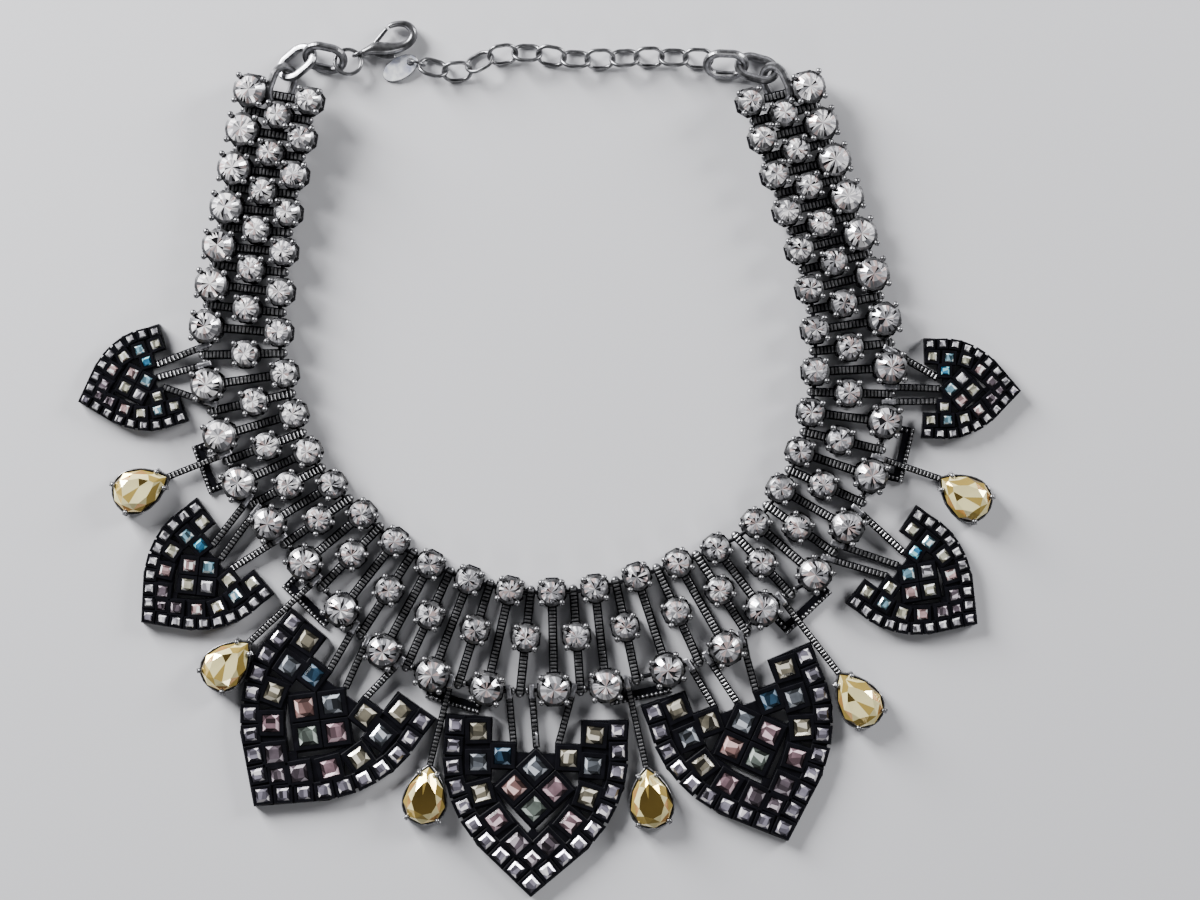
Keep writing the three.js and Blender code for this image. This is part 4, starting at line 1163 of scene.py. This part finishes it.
def oval_tag():
    """The bare oval tag with its hole, and its ring."""
    batch = Batch()
    x, y, heading = past_chain(TAG_RING_REACH)
    ring_frame = link_frame(x, y, TAG_RING / 2, heading, 90)
    batch.add(*link(TAG_RING, TAG_RING, TAG_WIRE), ring_frame, smooth=True)
    finished(batch, "round_tag_ring", [DARK_CHAIN], "tag_ring")
    rise = TAG_WIRE + TAG_RISE
    oval = [(TAG_LENGTH * (0.5 + x) - TAG_TO_HOLE, TAG_WIDTH * y) for x, y in regular(TAG_SIDES, 0.5)]
    edge = [(0.97 * x + 0.1, 0.95 * y) for x, y in oval]
    hole = regular(TAG_SIDES, TAG_HOLE)
    rings = [at_height(hole, 0), at_height(oval, 0.05), at_height(oval, TAG_THICKNESS - 0.15)]
    rings += [at_height(edge, TAG_THICKNESS), at_height(hole, TAG_THICKNESS), at_height(hole, 0)]
    verts, faces = lofted(rings, close_bottom=False, close_top=False)
    # The side, chamfer and hole wall get the darker metal as painted shade
    slots = [int(i // TAG_SIDES in TAG_SHADED_BANDS) for i in range(len(faces))]
    radius = (TAG_RING - TAG_WIRE) / 2
    below = TAG_RING / 2 - rise - TAG_THICKNESS / 2
    x, y, _ = past_chain(TAG_RING_REACH + math.sqrt(radius**2 - below**2))
    pitch = math.degrees(math.asin(rise / (TAG_LENGTH - TAG_TO_HOLE)))
    batch = Batch()
    batch.add(verts, faces, link_frame(x, y, rise, TAG_HEADING, 0, pitch), slots)
    finished(batch, "oval_tag", [SILVER, DARK_CHAIN], "tag")


def swept(rows, sides=16):
    """A rounded bar through x, y, half width and half height rows, at the clasp's height."""
    rings = []
    for i, (x, y, across, up) in enumerate(rows):
        before, after = rows[max(i - 1, 0)], rows[min(i + 1, len(rows) - 1)]
        run = Vector((after[0] - before[0], after[1] - before[1])).normalized()
        section = [(across * c, up * d) for c, d in regular(sides, 1)]
        rings.append([(x + run.y * u, y - run.x * u, CLASP_HEIGHT + v) for u, v in section])
    return lofted(rings)


def smooth_rows(rows, steps=4):
    """Rows between the given ones, by a smooth curve in each column."""
    fine = []
    for i in range((len(rows) - 1) * steps + 1):
        share = i / ((len(rows) - 1) * steps)
        first, _ = catmull([row[:2] for row in rows], share)
        second, _ = catmull([row[2:] for row in rows], share)
        fine.append((first.x, first.y, second.x, second.y))
    return fine


def clasp_hook(at):
    """The clasp's smooth body, with the lever's slot cut out of it."""
    body, cutter = Batch(), Batch()
    body.add(*swept(smooth_rows(CLASP_BODY)), at, smooth=True)
    cutter.add(*block(SLOT_LOW, SLOT_HIGH), at)
    piece = body.make("clasp_hook", [DARK_CHAIN])
    tool = cutter.make("slot_cutter", [DARK_CHAIN])
    cut = piece.modifiers.new("slot", "BOOLEAN")
    cut.operation = "DIFFERENCE"
    cut.object = tool
    solid = bpy.data.meshes.new_from_object(piece.evaluated_get(bpy.context.evaluated_depsgraph_get()))
    piece.modifiers.clear()
    piece.data = solid
    bpy.data.objects.remove(tool)
    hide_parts("clasp_body")


def clasp():
    """The lobster clasp: its body, its swivel eye and pin, and its lever."""
    at = link_frame(*CLASP_PLACE)
    clasp_hook(at)
    eye = Batch()
    standing = at @ place(*SWIVEL_PLACE) @ turned(math.pi / 2, "X")
    eye.add(*link(SWIVEL_RING, SWIVEL_RING, SWIVEL_WIRE), standing, smooth=True)
    eye.add(*lathe([(PIN_RADIUS, PIN_LOW), (PIN_RADIUS, PIN_HIGH)], 16), at @ place(PIN_X, 0), smooth=True)
    eye.make("swivel_eye", [DARK_CHAIN])
    lever = Batch()
    for rows in LEVER_ARMS:
        lever.add(*swept(smooth_rows(rows), 12), at, smooth=True)
    finished(lever, "lever_arms", [DARK_CHAIN], "clasp_lever", "lever")


def paint(names, material):
    for name in names:
        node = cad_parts[name]
        node.data.materials.clear()
        node.data.materials.append(material)


def carried_over():
    """Finishes of the CAD nodes that stay in sight."""
    hanging = ["hanger_%s_%s" % (row[0], k) for row in PANELS for k in ("first", "middle", "last")]
    paint(hanging, DARK_METAL)
    paint(["drop_" + row[0] for row in DROPS], DARK_METAL)
    paint(["bracket_" + row[0] for row in DROPS], BLACK)


# Floor, light and camera


def floor():
    mesh = bpy.data.meshes.new("floor")
    corners = rectangle(-FLOOR_REACH, -FLOOR_REACH, FLOOR_REACH, FLOOR_REACH)
    mesh.from_pydata(at_height(corners, 0), [], [[0, 1, 2, 3]])
    mesh.materials.append(finish("pale_floor", FLOOR_COLOR, 0.0, 0.6, grain=3, shade=0.01))
    obj = bpy.data.objects.new("floor", mesh)
    bpy.context.scene.collection.objects.link(obj)


def lights():
    world = bpy.data.worlds.new("studio")
    bpy.context.scene.world = world
    world.use_nodes = True
    background = world.node_tree.nodes["Background"]
    background.inputs["Color"].default_value = WORLD_COLOR
    background.inputs["Strength"].default_value = WORLD_STRENGTH
    for name, spot, size, power in LIGHTS:
        light = bpy.data.lights.new(name, "AREA")
        light.size = size
        light.energy = power
        lamp = bpy.data.objects.new(name, light)
        lamp.location = spot
        lamp.rotation_euler = (-Vector(spot)).to_track_quat("-Z", "Y").to_euler()
        bpy.context.scene.collection.objects.link(lamp)


def camera():
    """A camera straight above the photo's middle, with the photo's width in its frame."""
    data = bpy.data.cameras.new("camera")
    obj = bpy.data.objects.new("camera", data)
    bpy.context.scene.collection.objects.link(obj)
    bpy.context.scene.camera = obj
    x = (PHOTO_WIDTH / 2 - PHOTO_ORIGIN[0]) * PHOTO_SCALE + SHIFT_X
    y = (PHOTO_ORIGIN[1] - PHOTO_HEIGHT / 2) * PHOTO_SCALE + SHIFT_Y
    obj.location = (x * MM, y * MM, CAMERA_HEIGHT)
    data.sensor_width = SENSOR_WIDTH
    data.lens = SENSOR_WIDTH * CAMERA_HEIGHT / (PHOTO_WIDTH * PHOTO_SCALE * MM)
    data.clip_end = 10


collar()
panels()
hangers()
drops()
chains()
oval_tag()
clasp()
carried_over()
floor()
lights()
camera()
